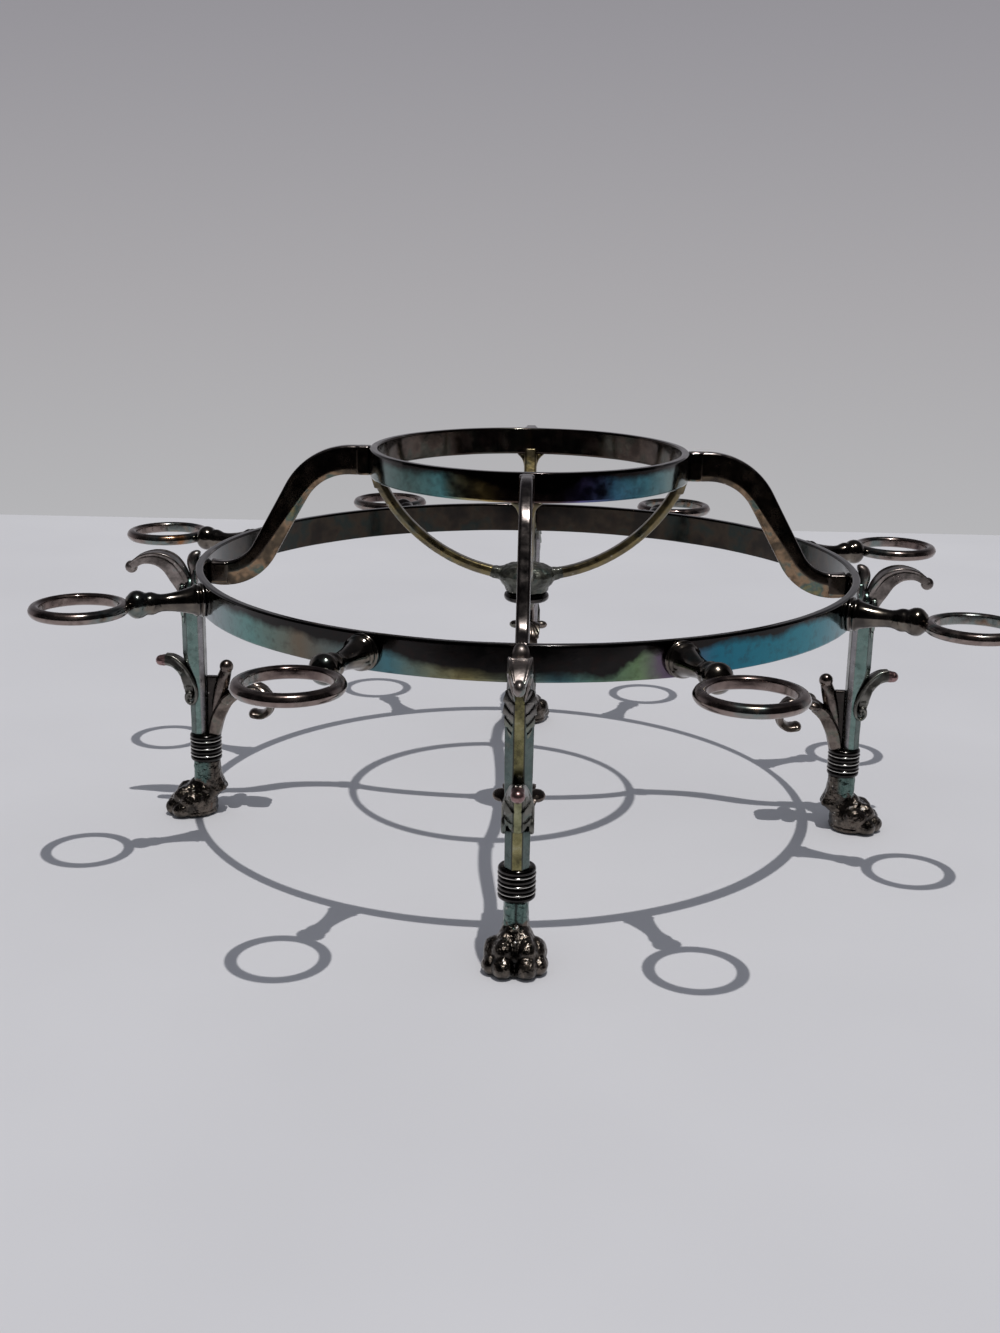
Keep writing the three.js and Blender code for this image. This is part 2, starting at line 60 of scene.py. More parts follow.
Array = np.ndarray
Rows = Sequence[Sequence[float]]
Outline = Callable[[Array, float], Array]
Ramp = tuple[tuple[float, str], ...]
Three = tuple[float, float, float]
# Where on some number a colour starts to show, where it is full, and its share there.
Edge = tuple[float, float, float]
Links = Sequence[object] | dict[int | str, object]
Socket = bpy.types.NodeSocket
Piece = bpy.types.Object

log = logging.getLogger("epergne")


class Slot(Enum):
    """The record's material slots."""

    HOOP = "hoop_silver"
    ARM = "arm_silver"
    CAST = "cast_silver"
    LEG = "leg_silver"
    PAW = "paw_silver"
    RING = "ring_silver"


# Lines and outlines


def smooth_rows(stops: Rows, count: int) -> Array:
    """Even steps along a smooth line through rows of numbers.

    Args:
        stops: Rows whose first two numbers are a place in the radial plane.
        count: How many rows to make.

    Returns:
        The rows, evenly spaced along the line.
    """
    table = np.asarray(stops, float)
    knots = np.vstack([2 * table[:1] - table[1:2], table, 2 * table[-1:] - table[-2:-1]])
    t = np.linspace(0, 1, 24, endpoint=False)[:, None]
    spans = [
        0.5 * (2 * b + (c - a) * t + (2 * a - 5 * b + 4 * c - d) * t**2 + (3 * b - a - 3 * c + d) * t**3)
        for a, b, c, d in zip(knots, knots[1:], knots[2:], knots[3:])
    ]
    return even_rows(np.vstack([*spans, table[-1:]]), count)


def smooth_levels(stops: Rows, count: int) -> Array:
    """Even, smooth steps in height through rows that start with a height."""
    return np.delete(smooth_rows(np.insert(stops, 1, 0, axis=1), count), 1, axis=1)


def even_rows(rows: Array, count: int) -> Array:
    """Even steps along rows whose first two numbers are a place in the radial plane.

    Args:
        rows: The rows, close together.
        count: How many rows to make.

    Returns:
        The rows, evenly spaced.
    """
    gone = np.r_[0, np.cumsum(np.linalg.norm(np.diff(rows[:, :2], axis=0), axis=1))]
    at = np.linspace(0, gone[-1], count)
    return np.column_stack([np.interp(at, gone, column) for column in rows.T])


def arc(centre: Sequence[float], radius: float, start: float, end: float, steps: int = 24) -> Array:
    """Points of an arc in the radial plane, from one angle to another in degrees from +X."""
    angle = np.radians(np.linspace(start, end, steps + 1))
    return np.column_stack([centre[0] + radius * np.cos(angle), centre[1] + radius * np.sin(angle)])


def fillet(outline: Rows, radius: float, steps: int = 3) -> Array:
    """Rounds the corners of a closed outline and keeps its flats flat.

    Args:
        outline: The corners, in order.
        radius: How far from a corner the rounding starts.
        steps: The steps round each corner.

    Returns:
        The points, with one support point on each side of a corner.
    """
    corners = np.asarray(outline, float)
    rounded = []
    for before, corner, after in zip(np.roll(corners, 1, 0), corners, np.roll(corners, -1, 0)):
        back, ahead = before - corner, after - corner
        back_length, ahead_length = np.linalg.norm(back), np.linalg.norm(ahead)
        back, ahead = back / back_length, ahead / ahead_length
        reach = min(radius, 0.36 * back_length, 0.36 * ahead_length)
        start, end = corner + back * reach, corner + ahead * reach
        rounded.append(corner + back * min(2.2 * reach, 0.47 * back_length))
        for t in np.linspace(0, 1, steps + 1):
            rounded.append((1 - t) ** 2 * start + 2 * t * (1 - t) * corner + t * t * end)
        rounded.append(corner + ahead * min(2.2 * reach, 0.47 * ahead_length))
    return np.array(rounded)


def oval(width: float, depth: float, points: int = 20) -> Array:
    """An oval outline of a width and a depth."""
    angle = np.linspace(0, 2 * np.pi, points, endpoint=False)
    return np.column_stack([np.cos(angle) * width / 2, np.sin(angle) * depth / 2])


def padded(width: float, depth: float, soft: float = 0.45) -> Array:
    """A rectangle whose corners are soft by a share of its half sizes."""
    return fillet([(-1, -1), (1, -1), (1, 1), (-1, 1)], soft) * (width / 2, depth / 2)


class Shell:
    """Closed surfaces gathered for one piece, in millimetres."""

    def __init__(self) -> None:
        """Starts with no surface."""
        self.points: list[Array] = []
        self.faces: list[list[int]] = []
        self.count = 0

    def skin(self, rings: Array, looped: bool = False) -> Self:
        """Joins rings of points with faces.

        Args:
            rings: Rings of the same number of points.
            looped: Whether the last ring meets the first, rather than both being capped.

        Returns:
            This shell.
        """
        rows, across = rings.shape[:2]
        grid = self.count + np.arange(rows * across).reshape(rows, across)
        ahead = np.roll(grid, -1, 0) if looped else grid[1:]
        here = grid if looped else grid[:-1]
        quads = np.stack([here, np.roll(here, -1, 1), np.roll(ahead, -1, 1), ahead], axis=-1)
        self.faces += quads.reshape(-1, 4).tolist()
        if not looped:
            self.faces += [grid[0][::-1].tolist(), grid[-1].tolist()]
        self.points.append(rings.reshape(-1, 3))
        self.count += rows * across
        return self

    def stack(self, levels: Iterable[tuple[float, Array]]) -> Self:
        """Joins level outlines, each with its height in front."""
        return self.skin(np.array([np.insert(outline, 2, z, axis=1) for z, outline in levels]))

    def sweep(self, rows: Array, outline: Outline) -> Self:
        """Sweeps an outline along a line in the radial plane.

        Args:
            rows: Steps along the line, a place and then any sizes.
            outline: Gives the points, across and to the left of travel, from a row and its share
                of the way.

        Returns:
            This shell.
        """
        along = np.gradient(rows[:, :2], axis=0)
        along /= np.linalg.norm(along, axis=1)[:, None]
        rings = []
        for t, row, way in zip(np.linspace(0, 1, len(rows)), rows, along):
            across, up = outline(row, t).T
            rings.append(np.column_stack([row[0] - way[1] * up, across, row[1] + way[0] * up]))
        return self.skin(np.array(rings))

    def turned(
        self, profile: Rows, facets: int, place: Matrix = Matrix.Identity(4), looped: bool = False
    ) -> Self:
        """Turns a profile of radius and height about Z.

        Args:
            profile: The profile, off the axis all along.
            facets: The steps round.
            place: Moves the turned body, in millimetres.
            looped: Whether the profile closes on itself, as a ring's does.

        Returns:
            This shell.
        """
        angle = np.linspace(0, 2 * np.pi, facets, endpoint=False)
        circle = np.column_stack([np.cos(angle), np.sin(angle)])
        rings = np.array([np.insert(radius * circle, 2, z, axis=1) for radius, z in profile])
        return self.skin(rings @ np.array(place.to_3x3()).T + np.array(place.translation), looped)

    def ball(self, centre: Sequence[float], radii: Sequence[float], lean: float = 0.0) -> Self:
        """A rounded lump.

        Args:
            centre: Its centre.
            radii: Its three half sizes.
            lean: How far it leans out from the axis, in degrees about Y.

        Returns:
            This shell.
        """
        turn = Matrix.Rotation(math.radians(lean), 4, "Y")
        place = Matrix.Translation(centre) @ turn @ Matrix.Diagonal((*radii, 1))
        return self.turned(arc((0, 0), 1, -86, 86, 16), 24, place)

    def mirrored(self) -> Self:
        """Adds each surface again on the other side of the radial plane.

        Returns:
            This shell.
        """
        other = Shell()
        other.points = [points * (1, -1, 1) for points in self.points]
        other.faces, other.count = list(self.faces), self.count
        return self.add(other)

    def add(self, other: "Shell") -> Self:
        """Adds the surfaces of another shell.

        Args:
            other: The other shell.

        Returns:
            This shell.
        """
        self.faces += [[i + self.count for i in face] for face in other.faces]
        self.points += other.points
        self.count += other.count
        return self

    def as_object(self, name: str) -> Piece:
        """Makes a smooth-shaded object, in metres, its faces pointing outwards.

        Args:
            name: The object's name.

        Returns:
            The object.
        """
        mesh = bpy.data.meshes.new(name)
        mesh.from_pydata((np.vstack(self.points) * MM).tolist(), [], self.faces)
        work = bmesh.new()
        work.from_mesh(mesh)
        bmesh.ops.recalc_face_normals(work, faces=work.faces)
        work.to_mesh(mesh)
        work.free()
        mesh.shade_smooth()
        piece = bpy.data.objects.new(name, mesh)
        bpy.context.scene.collection.objects.link(piece)
        return piece


# Node trees


def linear(code: str) -> tuple[float, float, float, float]:
    """Turns an sRGB hex colour into linear numbers.

    Args:
        code: Six hex digits after a hash.

    Returns:
        Linear red, green and blue, and an alpha of 1.
    """
    parts = [int(code[i : i + 2], 16) / 255 for i in (1, 3, 5)]
    red, green, blue = (p / 12.92 if p <= 0.04045 else ((p + 0.055) / 1.055) ** 2.4 for p in parts)
    return red, green, blue, 1.0


class Tree:
    """A node tree that is written node by node."""

    def __init__(self, tree: bpy.types.NodeTree) -> None:
        """Starts with no node."""
        tree.nodes.clear()
        self.tree = tree

    @classmethod
    def of(cls, owner: bpy.types.Material | bpy.types.World, *values: object) -> Self:
        """The tree of a material or a world."""
        owner.use_nodes = True
        return cls(owner.node_tree, *values)

    def add(
        self, kind: str, links: Links = (), out: int | str = 0, stops: Ramp = (), **settings: object
    ) -> Socket:
        """Adds a node with its settings and links.

        Args:
            kind: The node's type, without ShaderNode in front, and after a space its operation.
            links: What feeds the inputs, in order or by name: a socket to link, or a value.
            out: The output that is wanted, by place or name.
            stops: For a colour ramp, its places and sRGB colours.
            settings: The node's own settings.

        Returns:
            The output, or None for a node that ends the tree.
        """
        kind, _, operation = kind.partition(" ")
        node = self.tree.nodes.new(kind if "Node" in kind else f"ShaderNode{kind}")
        if operation:
            node.operation = operation
        for key, value in settings.items():
            setattr(node, key, value)
        for place, (at, code) in enumerate(stops):
            elements = node.color_ramp.elements
            stop = elements[place] if place < 2 else elements.new(at)
            stop.position = at
            stop.color = linear(code)
        for key, value in links.items() if isinstance(links, dict) else enumerate(links):
            if isinstance(value, Socket):
                self.tree.links.new(value, node.inputs[key])
            else:
                node.inputs[key].default_value = value
        return node.outputs[out] if node.outputs else None


class Recipe(Tree):
    """A Geometry Nodes tree with named inputs, which ends in Realize Instances and Set Material."""

    def __init__(self, name: str, inputs: dict[str, str]) -> None:
        """Makes the tree and its inputs.

        Args:
            name: The tree's name.
            inputs: Each input's name and its kind, such as Float or Int.
        """
        super().__init__(bpy.data.node_groups.new(name, "GeometryNodeTree"))
        face = self.tree.interface
        for label, kind in {"Geometry": "Geometry", **inputs, "Finish": "Material"}.items():
            face.new_socket(name=label, in_out="INPUT", socket_type="NodeSocket" + kind)
        face.new_socket(name="Geometry", in_out="OUTPUT", socket_type="NodeSocketGeometry")
        self.given = self.tree.nodes.new("NodeGroupInput").outputs

    def swing(self, depth: Socket, links: Links, **settings: object) -> Socket:
        """A shift along the surface's normal, in and out.

        Args:
            depth: The whole depth of the swing.
            links: What feeds its noise.
            settings: The noise's settings.

        Returns:
            The shift.
        """
        noise = self.add("TexNoise", links, **settings)
        length = self.add("Math MULTIPLY", (self.add("Math SUBTRACT", (noise, 0.5)), depth))
        return self.add("VectorMath SCALE", {0: self.add("GeometryNodeInputNormal"), "Scale": length})

    def end(self, geometry: Socket) -> Self:
        """Realizes the instances, sets the finish and ends the tree.

        Args:
            geometry: What the tree has made.

        Returns:
            This recipe.
        """
        real = self.add("GeometryNodeRealizeInstances", {"Geometry": geometry})
        links = {"Geometry": real, "Material": self.given["Finish"]}
        self.add("NodeGroupOutput", (self.add("GeometryNodeSetMaterial", links),))
        return self

    def use_on(self, piece: Piece, **values: object) -> None:
        """Puts the tree on a piece.

        Args:
            piece: The piece.
            values: The inputs, by name.
        """
        modifier = piece.modifiers.new(self.tree.name, "NODES")
        modifier.node_group = self.tree
        for item in self.tree.interface.items_tree:
            if item.in_out == "INPUT" and item.name in values:
                modifier[item.identifier] = values[item.name]


def band_recipe() -> Recipe:
    """A flat band standing on edge, bent round into a hoop and a little uneven from the hammer.

    Returns:
        The recipe.
    """
    names = ("Radius", "Thickness", "Height", "Top", "Edge", "Ripple", "Waves")
    sizes = dict.fromkeys(names, "Float")
    recipe = Recipe("band_bent_to_a_hoop", {**sizes, "Round": "Int", "Section": "Int"})
    given, add = recipe.given, recipe.add
    middle = add("Math SUBTRACT", (given["Radius"], add("Math MULTIPLY", (given["Thickness"], 0.5))))
    circle = add("GeometryNodeCurvePrimitiveCircle", {"Resolution": given["Round"], "Radius": middle})
    oblong = {"Width": given["Thickness"], "Height": given["Height"]}
    section = add("GeometryNodeCurvePrimitiveQuadrilateral", oblong)
    corners = {"Curve": section, "Count": 5, "Radius": given["Edge"]}
    softened = add("GeometryNodeFilletCurve", corners, mode="POLY")
    steps = {"Curve": softened, "Count": given["Section"]}
    even = add("GeometryNodeResampleCurve", steps, mode="COUNT")
    band = add("GeometryNodeCurveToMesh", {"Curve": circle, "Profile Curve": even})
    level = add("Math SUBTRACT", (given["Top"], add("Math MULTIPLY", (given["Height"], 0.5))))
    hammered = recipe.swing(given["Ripple"], {"Scale": given["Waves"], "Detail": 1.0})
    shift = add("VectorMath ADD", (hammered, add("CombineXYZ", {"Z": level})))
    placed = add("GeometryNodeSetPosition", {"Geometry": band, "Offset": shift})
    return recipe.end(add("GeometryNodeSetShadeSmooth", (placed,)))


def copies_recipe() -> Recipe:
    """Repeats a piece about Z: so many sides, and so many copies spread about each side.

    Returns:
        The recipe.
    """
    kinds = {"Sides": "Int", "Each": "Int", "Spread": "Float", "First": "Float"}
    recipe = Recipe("copies_round_the_frame", kinds)
    given, add = recipe.given, recipe.add
    count = add("Math MULTIPLY", (given["Sides"], given["Each"]))
    index = add("GeometryNodeInputIndex")
    share = add("Math DIVIDE", (add("Math ADD", (index, 0.5)), given["Each"]))
    side = add("Math FLOOR", (share,))
    turn = add("Math MULTIPLY", (side, add("Math DIVIDE", (math.tau, given["Sides"]))))
    own = add("Math SUBTRACT", (index, add("Math MULTIPLY", (side, given["Each"]))))
    last = add("Math SUBTRACT", (given["Each"], 1.0))
    off_middle = add("Math SUBTRACT", (add("Math MULTIPLY", (own, 2.0)), last))
    aside = add("Math MULTIPLY", (off_middle, given["Spread"]))
    angle = add("Math ADD", (add("Math ADD", (given["First"], turn)), aside))
    rotation = add("FunctionNodeEulerToRotation", (add("CombineXYZ", {"Z": angle}),))
    points = add("GeometryNodePoints", {"Count": count})
    links = {"Points": points, "Instance": given["Geometry"], "Rotation": rotation}
    return recipe.end(add("GeometryNodeInstanceOnPoints", links))


def cast_skin_recipe() -> Recipe:
    """The uneven skin of a sand casting: the surface moves in and out along its normal.

    Returns:
        The recipe.
    """
    recipe = Recipe("sand_cast_skin", dict.fromkeys(("Depth", "Grain", "Seed"), "Float"))
    given, add = recipe.given, recipe.add
    noise = {"W": given["Seed"], "Scale": add("Math DIVIDE", (1.0, given["Grain"])), "Detail": 3.0}
    shift = recipe.swing(given["Depth"], noise, noise_dimensions="4D")
    return recipe.end(add("GeometryNodeSetPosition", {"Geometry": given["Geometry"], "Offset": shift}))


class Paint(Tree):
    """A finish's tree, which reads places on the piece in millimetres."""

    def __init__(self, tree: bpy.types.NodeTree, seed: float = 0.0) -> None:
        """Finds the place on the piece.

        Args:
            tree: The material's tree.
            seed: Sets the finish's clouds apart from those of others.
        """
        super().__init__(tree)
        self.seed = seed
        self.place = self.add("VectorMath SCALE", {0: self.add("TexCoord", out="Object"), "Scale": 1 / MM})

    def cloud(
        self, size: float, detail: float = 3.0, shift: float = 0.0, rough: float = 0.62,
        lie: Three = (1, 1, 1),
    ) -> Socket:
        """A cloudy number over the surface.

        Args:
            size: The clouds' size.
            detail: How many times finer clouds are laid over them.
            shift: What is added to the seed, a place in metres along a fourth axis.
            rough: How strong the finer clouds are.
            lie: How much the clouds are packed along each axis.

        Returns:
            The number.
        """
        links = {
            "Vector": self.add("VectorMath MULTIPLY", (self.place, lie)),
            "W": (self.seed + shift) / MM,
            "Scale": 1 / size,
            "Detail": detail,
            "Roughness": rough,
        }
        return self.add("TexNoise", links, noise_dimensions="4D")

    def lay(self, under: Socket, over: Socket | str, *edges: tuple[Socket, Edge]) -> Socket:
        """Lays one colour over another where all its edges let it show.

        Args:
            under: The colour below.
            over: The colour on top, a socket or an sRGB hex.
            edges: A number, and the top colour's edge on it.

        Returns:
            The colour.
        """
        shares = [self.add("MapRange", (at, *edge[:2], 0.0, edge[2])) for at, edge in edges]
        share = shares.pop()
        for other in shares:
            share = self.add("Math MULTIPLY", (share, other))
        top = linear(over) if isinstance(over, str) else over
        return self.add("Mix", {0: share, 6: under, 7: top}, 2, data_type="RGBA")

    def facing_out(self) -> Socket:
        """How far the surface faces away from the frame's axis, from -1 to 1.

        Returns:
            The number.
        """
        level = self.add("VectorMath MULTIPLY", (self.place, (1, 1, 0)))
        away = self.add("VectorMath NORMALIZE", (level,))
        return self.add("VectorMath DOT_PRODUCT", (self.add("NewGeometry", out="Normal"), away), 1)

    def leg_axes(self) -> tuple[Socket, Socket, Socket]:
        """How far a place on a leg stands beside its radial plane, how far out, and how high.

        Returns:
            The three lengths.
        """
        bare = self.add("VectorMath ABSOLUTE", (self.place,))
        x, y, height = self.add("SeparateXYZ", (bare,)).node.outputs
        return self.add("Math MINIMUM", (x, y)), self.add("Math MAXIMUM", (x, y)), height


# Finishes


@dataclass(frozen=True)
class TarnishedSilver:
    """Silver plate on brass, left to tarnish: a thin sulphide film over bright metal.

    The eye gets dark, clear reflections with patches of film colour, black in the hollows, where
    the film is thick, and pale on the edges, which rub bright. The grain of casting sand, some
    0.2 mm, is too fine to show in the render, so it is drawn as coarse as it needs to show.
    """

    name: str
    slot: Slot
    patches: Ramp
    patch_mm: float = 9.0
    hollow: str = "#14110f"
    rubbed: str = "#b9b4ad"
    hollow_mm: float = 2.0
    rough: tuple[float, float] = (0.09, 0.23)
    haze_mm: float = 4.0
    grain_mm: float = 0.9
    grain_depth_mm: float = 0.012
    freckle_mm: float = 2.6
    freckled: Edge = (0.5, 0.74, 0.5)
    shut_in: Edge = (0.85, 0.35, 0.9)
    worn: Edge = (0.54, 0.64, 0.6)
    seed: float = 0.0

    def material(self) -> bpy.types.Material:
        """Builds the material.

        Returns:
            The material.
        """
        made = bpy.data.materials.new(self.name)
        paint = Paint.of(made, self.seed)
        colour = self.rubbed_and_filled(paint, self.film_colour(paint))
        grain = paint.add("TexNoise", {"Vector": paint.place, "Scale": 1 / self.grain_mm, "Detail": 4.0})
        bump = {"Strength": 1.0, "Distance": self.grain_depth_mm * MM, "Height": grain}
        haze = paint.cloud(self.haze_mm, detail=5.0, shift=3.0, rough=0.5)
        metal = {
            "Base Color": colour,
            "Metallic": 1.0,
            "Roughness": paint.add("MapRange", (haze, 0.35, 0.65, *self.rough)),
            "Normal": paint.add("Bump", bump),
            "Coat Weight": 0.35,
            "Coat Roughness": 0.12,
        }
        paint.add("OutputMaterial", (paint.add("BsdfPrincipled", metal),))
        return made

    def film_colour(self, paint: Paint) -> Socket:
        """The patches of film colour."""
        return paint.add("ValToRGB", (paint.cloud(self.patch_mm),), stops=self.patches)

    def rubbed_and_filled(self, paint: Paint, film: Socket) -> Socket:
        """Black film in the hollows, freckles all over, and bright metal along rubbed edges.

        Args:
            paint: The finish's tree.
            film: The film's colour.

        Returns:
            The colour.
        """
        freckle = paint.cloud(self.freckle_mm, detail=5.0, shift=7.0)
        spotted = paint.lay(film, self.hollow, (freckle, self.freckled))
        shut_in = paint.add("AmbientOcclusion", {"Distance": self.hollow_mm * MM}, "AO", samples=6)
        filled = paint.lay(spotted, self.hollow, (shut_in, self.shut_in))
        edge = paint.add("NewGeometry", out="Pointiness")
        return paint.lay(filled, self.rubbed, (edge, self.worn))


@dataclass(frozen=True, kw_only=True)
class HoopTarnish(TarnishedSilver):
    """The hoops' film, which runs through the tarnish colours round the outside of the band.

    The upper part is dark brown, partly film and partly a painted reflection of the dim room, and
    below a ragged line the film is thin and shows grey, gold, green and blue. How far down the
    dark brown reaches is a grey between black and white.
    """

    round_outside: Ramp
    dark_reach_film_and_reflection: Ramp
    top_mm: float
    band_mm: float
    line_wave_mm: float
    # The upper part's colour: dark film and a painted reflection of the dim room.
    dark: str
    stray_mm: float = 14.0
    ragged_mm: float = 13.0
    dark_film_and_reflection_edge: Edge = (-0.1, 0.12, 1.0)
    outward: Edge = (0.2, 0.6, 1.0)

    def film_colour(self, paint: Paint) -> Socket:
        """The colours round the outside, the dark upper part, partly painted reflection, and the brown
        inside.

        Args:
            paint: The finish's tree.

        Returns:
            The film's colour.
        """
        noise = {"Vector": paint.place, "Scale": 1 / self.stray_mm, "Detail": 7.0, "Roughness": 0.66}
        swing = paint.add("VectorMath SUBTRACT", (paint.add("TexNoise", noise, "Color"), (0.5, 0.5, 0.5)))
        pushed = paint.add("VectorMath SCALE", {0: swing, "Scale": self.stray_mm})
        strayed = paint.add("VectorMath ADD", (paint.place, pushed))
        azimuth = paint.add("TexGradient", (strayed,), 1, gradient_type="RADIAL")
        tint = paint.add("ValToRGB", (azimuth,), stops=self.round_outside)
        # How far down the dark film and painted reflection reach, round the band.
        share = paint.add("ValToRGB", (azimuth,), stops=self.dark_reach_film_and_reflection)
        wave = self.line_wave_mm / self.band_mm / 2
        cloud = paint.cloud(self.ragged_mm, detail=6.0, shift=5.0)
        ragged = paint.add("MapRange", (cloud, *CLOUD_SPAN, -wave, wave))
        height = paint.add("SeparateXYZ", (paint.place,), 2)
        down = paint.add("MapRange", (height, self.top_mm, self.top_mm - self.band_mm, 0.0, 1.0))
        above = paint.add("Math SUBTRACT", (paint.add("Math ADD", (share, ragged)), down))
        # Painted reflection of the dim room, with dark film, over the upper part of the outside.
        outside = paint.lay(tint, self.dark, (above, self.dark_film_and_reflection_edge))
        return paint.lay(super().film_colour(paint), outside, (paint.facing_out(), self.outward))


@dataclass(frozen=True, kw_only=True)
class LegTarnish(TarnishedSilver):
    """The legs' colours, film and a painted reflection, which differ from face to face.

    The narrow middle facet is gold between dark seams. By the way they face, the outer chamfers
    are dark, the flanks green and the inner chamfers pale, partly film and partly painted reflection.
    The calyx is greyer, the hollow behind the outer leaf is painted black as its shade, and the
    leaf's tip is pink. The edges of the facet, its seams and that painted shade are measured from
    the facet's half width.
    """

    # Colours by the way a face looks: partly film, partly painted reflection.
    film_and_reflection_by_facing: Ramp
    facet: Ramp
    facet_half_mm: float
    evenness: float = 0.75
    outward: Edge = (0.2, 0.5, 1.0)
    facet_patch_mm: float = 5.0
    facet_reach: Edge = (127.0, 126.0, 1.0)
    facet_edge: Edge = (0.1, -0.1, 1.0)
    seam: str = "#23211c"
    seam_edge: Edge = (0.5, 0.3, 0.8)
    # Painted shade: black in the hollow behind the outer leaf.
    painted_pocket_shade: str = "#120e0d"
    painted_pocket_shade_mm: float | None = 57.0
    painted_pocket_shade_height: Edge = (6.5, 3.5, 0.95)
    painted_pocket_shade_edge: Edge = (0.6, 0.0, 1.0)
    tip: str = "#a27c7c"
    tip_reach: Edge = (129.4, 130.2, 0.8)
    calyx: str = "#857b7c"
    calyx_height: Edge = (76.0, 79.0, 0.6)

    def film_colour(self, paint: Paint) -> Socket:
        """Each face's colour, partly painted reflection, over the patches, then what lies on the outward
        side.

        Args:
            paint: The finish's tree.

        Returns:
            The film's colour.
        """
        facing = paint.facing_out()
        aside, reach, height = paint.leg_axes()
        beside = paint.add("Math SUBTRACT", (aside, self.facet_half_mm))
        share = paint.add("MapRange", (facing, -1.0, 1.0, 0.0, 1.0))
        # Colour by facing: partly film, partly painted reflection.
        faces = paint.add("ValToRGB", (share,), stops=self.film_and_reflection_by_facing)
        colours = {0: self.evenness, 6: super().film_colour(paint), 7: faces}
        film = paint.add("Mix", colours, 2, data_type="RGBA")
        outward = (facing, self.outward)
        near = (reach, self.facet_reach)
        film = paint.lay(film, self.calyx, outward, (height, self.calyx_height))
        film = paint.lay(film, self.seam, outward, near, (beside, self.seam_edge))
        cloud = paint.cloud(self.facet_patch_mm, detail=4.0, shift=2.0)
        gold = paint.add("ValToRGB", (cloud,), stops=self.facet)
        film = paint.lay(film, gold, outward, near, (beside, self.facet_edge))
        # Painted shade: black in the hollow behind the outer leaf.
        if self.painted_pocket_shade_mm is not None:
            apart = paint.add("Math ABSOLUTE", (paint.add("Math SUBTRACT", (height, self.painted_pocket_shade_mm)),))
            painted_shade_band = (apart, self.painted_pocket_shade_height)
            film = paint.lay(film, self.painted_pocket_shade, outward, painted_shade_band, (beside, self.painted_pocket_shade_edge))
        return paint.lay(film, self.tip, (reach, self.tip_reach))


@dataclass(frozen=True, kw_only=True)
class PawTarnish(TarnishedSilver):
    """The paws' film: verdigris on the shank, brown on its inner side and ending in a ragged fringe,
    and dark pewter below.
    """

    shank: Ramp
    inner: Ramp
    streak_mm: float = 1.1
    streak_lie: Three = (1, 1, 0.22)
    outer_reach: Edge = (113.8, 115.4, 1.0)
    shank_cleft: Edge = (0.55, 0.15, 0.85)
    toe_cleft: Edge = (2.4, 0.6, 0.85)
    fringe_mm: tuple[float, float] = (12.1, 15.3)
    fringe_patch_mm: float = 1.8
    fringe_edge: Edge = (-0.3, 0.5, 1.0)

    def film_colour(self, paint: Paint) -> Socket:
        """The shank's colours above the fringe, and the paw's below it.

        Args:
            paint: The finish's tree.

        Returns:
            The film's colour.
        """
        aside, reach, height = paint.leg_axes()
        streaks = paint.cloud(self.streak_mm, detail=4.0, shift=2.0, lie=self.streak_lie)
        outer = paint.add("ValToRGB", (streaks,), stops=self.shank)
        inner = paint.add("ValToRGB", (streaks,), stops=self.inner)
        faces = paint.lay(inner, outer, (reach, self.outer_reach))
        above = paint.lay(faces, self.hollow, (aside, self.shank_cleft))
        below = paint.lay(super().film_colour(paint), self.hollow, (aside, self.toe_cleft))
        cloud = paint.cloud(self.fringe_patch_mm, detail=2.0, shift=4.0)
        ragged = paint.add("MapRange", (cloud, *CLOUD_SPAN, *self.fringe_mm))
        over = paint.add("Math SUBTRACT", (height, ragged))
        return paint.lay(below, above, (over, self.fringe_edge))


@dataclass(frozen=True, kw_only=True)
class WebTarnish(TarnishedSilver):
    """The inner buds' film, black on the thin web low in the crotch of the leg."""

    web_side: Edge = (2.0, 1.5, 0.9)
    web_height: Edge = (53.6, 53.0, 1.0)

    def film_colour(self, paint: Paint) -> Socket:
        """The film, and black on the web.

        Args:
            paint: The finish's tree.

        Returns:
            The film's colour.
        """
        aside, _, height = paint.leg_axes()
        film = super().film_colour(paint)
        return paint.lay(film, self.hollow, (aside, self.web_side), (height, self.web_height))


@dataclass(frozen=True, kw_only=True)
class CollarTarnish(TarnishedSilver):
    """The collars' film: black rolls, and a painted highlight, a bright line, in each seam between them."""

    bottom_mm: float
    pitch_mm: float
    # A painted highlight: the bright line at each seam.
    line: str = "#cbc8c2"
    highlight_line_edge: Edge = (0.345, 0.255, 1.0)

    def film_colour(self, paint: Paint) -> Socket:
        """The black film, and a painted highlight, a bright line, at every seam.

        Args:
            paint: The finish's tree.

        Returns:
            The film's colour.
        """
        height = paint.add("SeparateXYZ", (paint.place,), 2)
        above = paint.add("Math SUBTRACT", (height, self.bottom_mm))
        apart = paint.add("Math PINGPONG", (above, self.pitch_mm / 2))
        # Painted highlight: a bright line at each seam between the rolls.
        return paint.lay(super().film_colour(paint), self.line, (apart, self.highlight_line_edge))


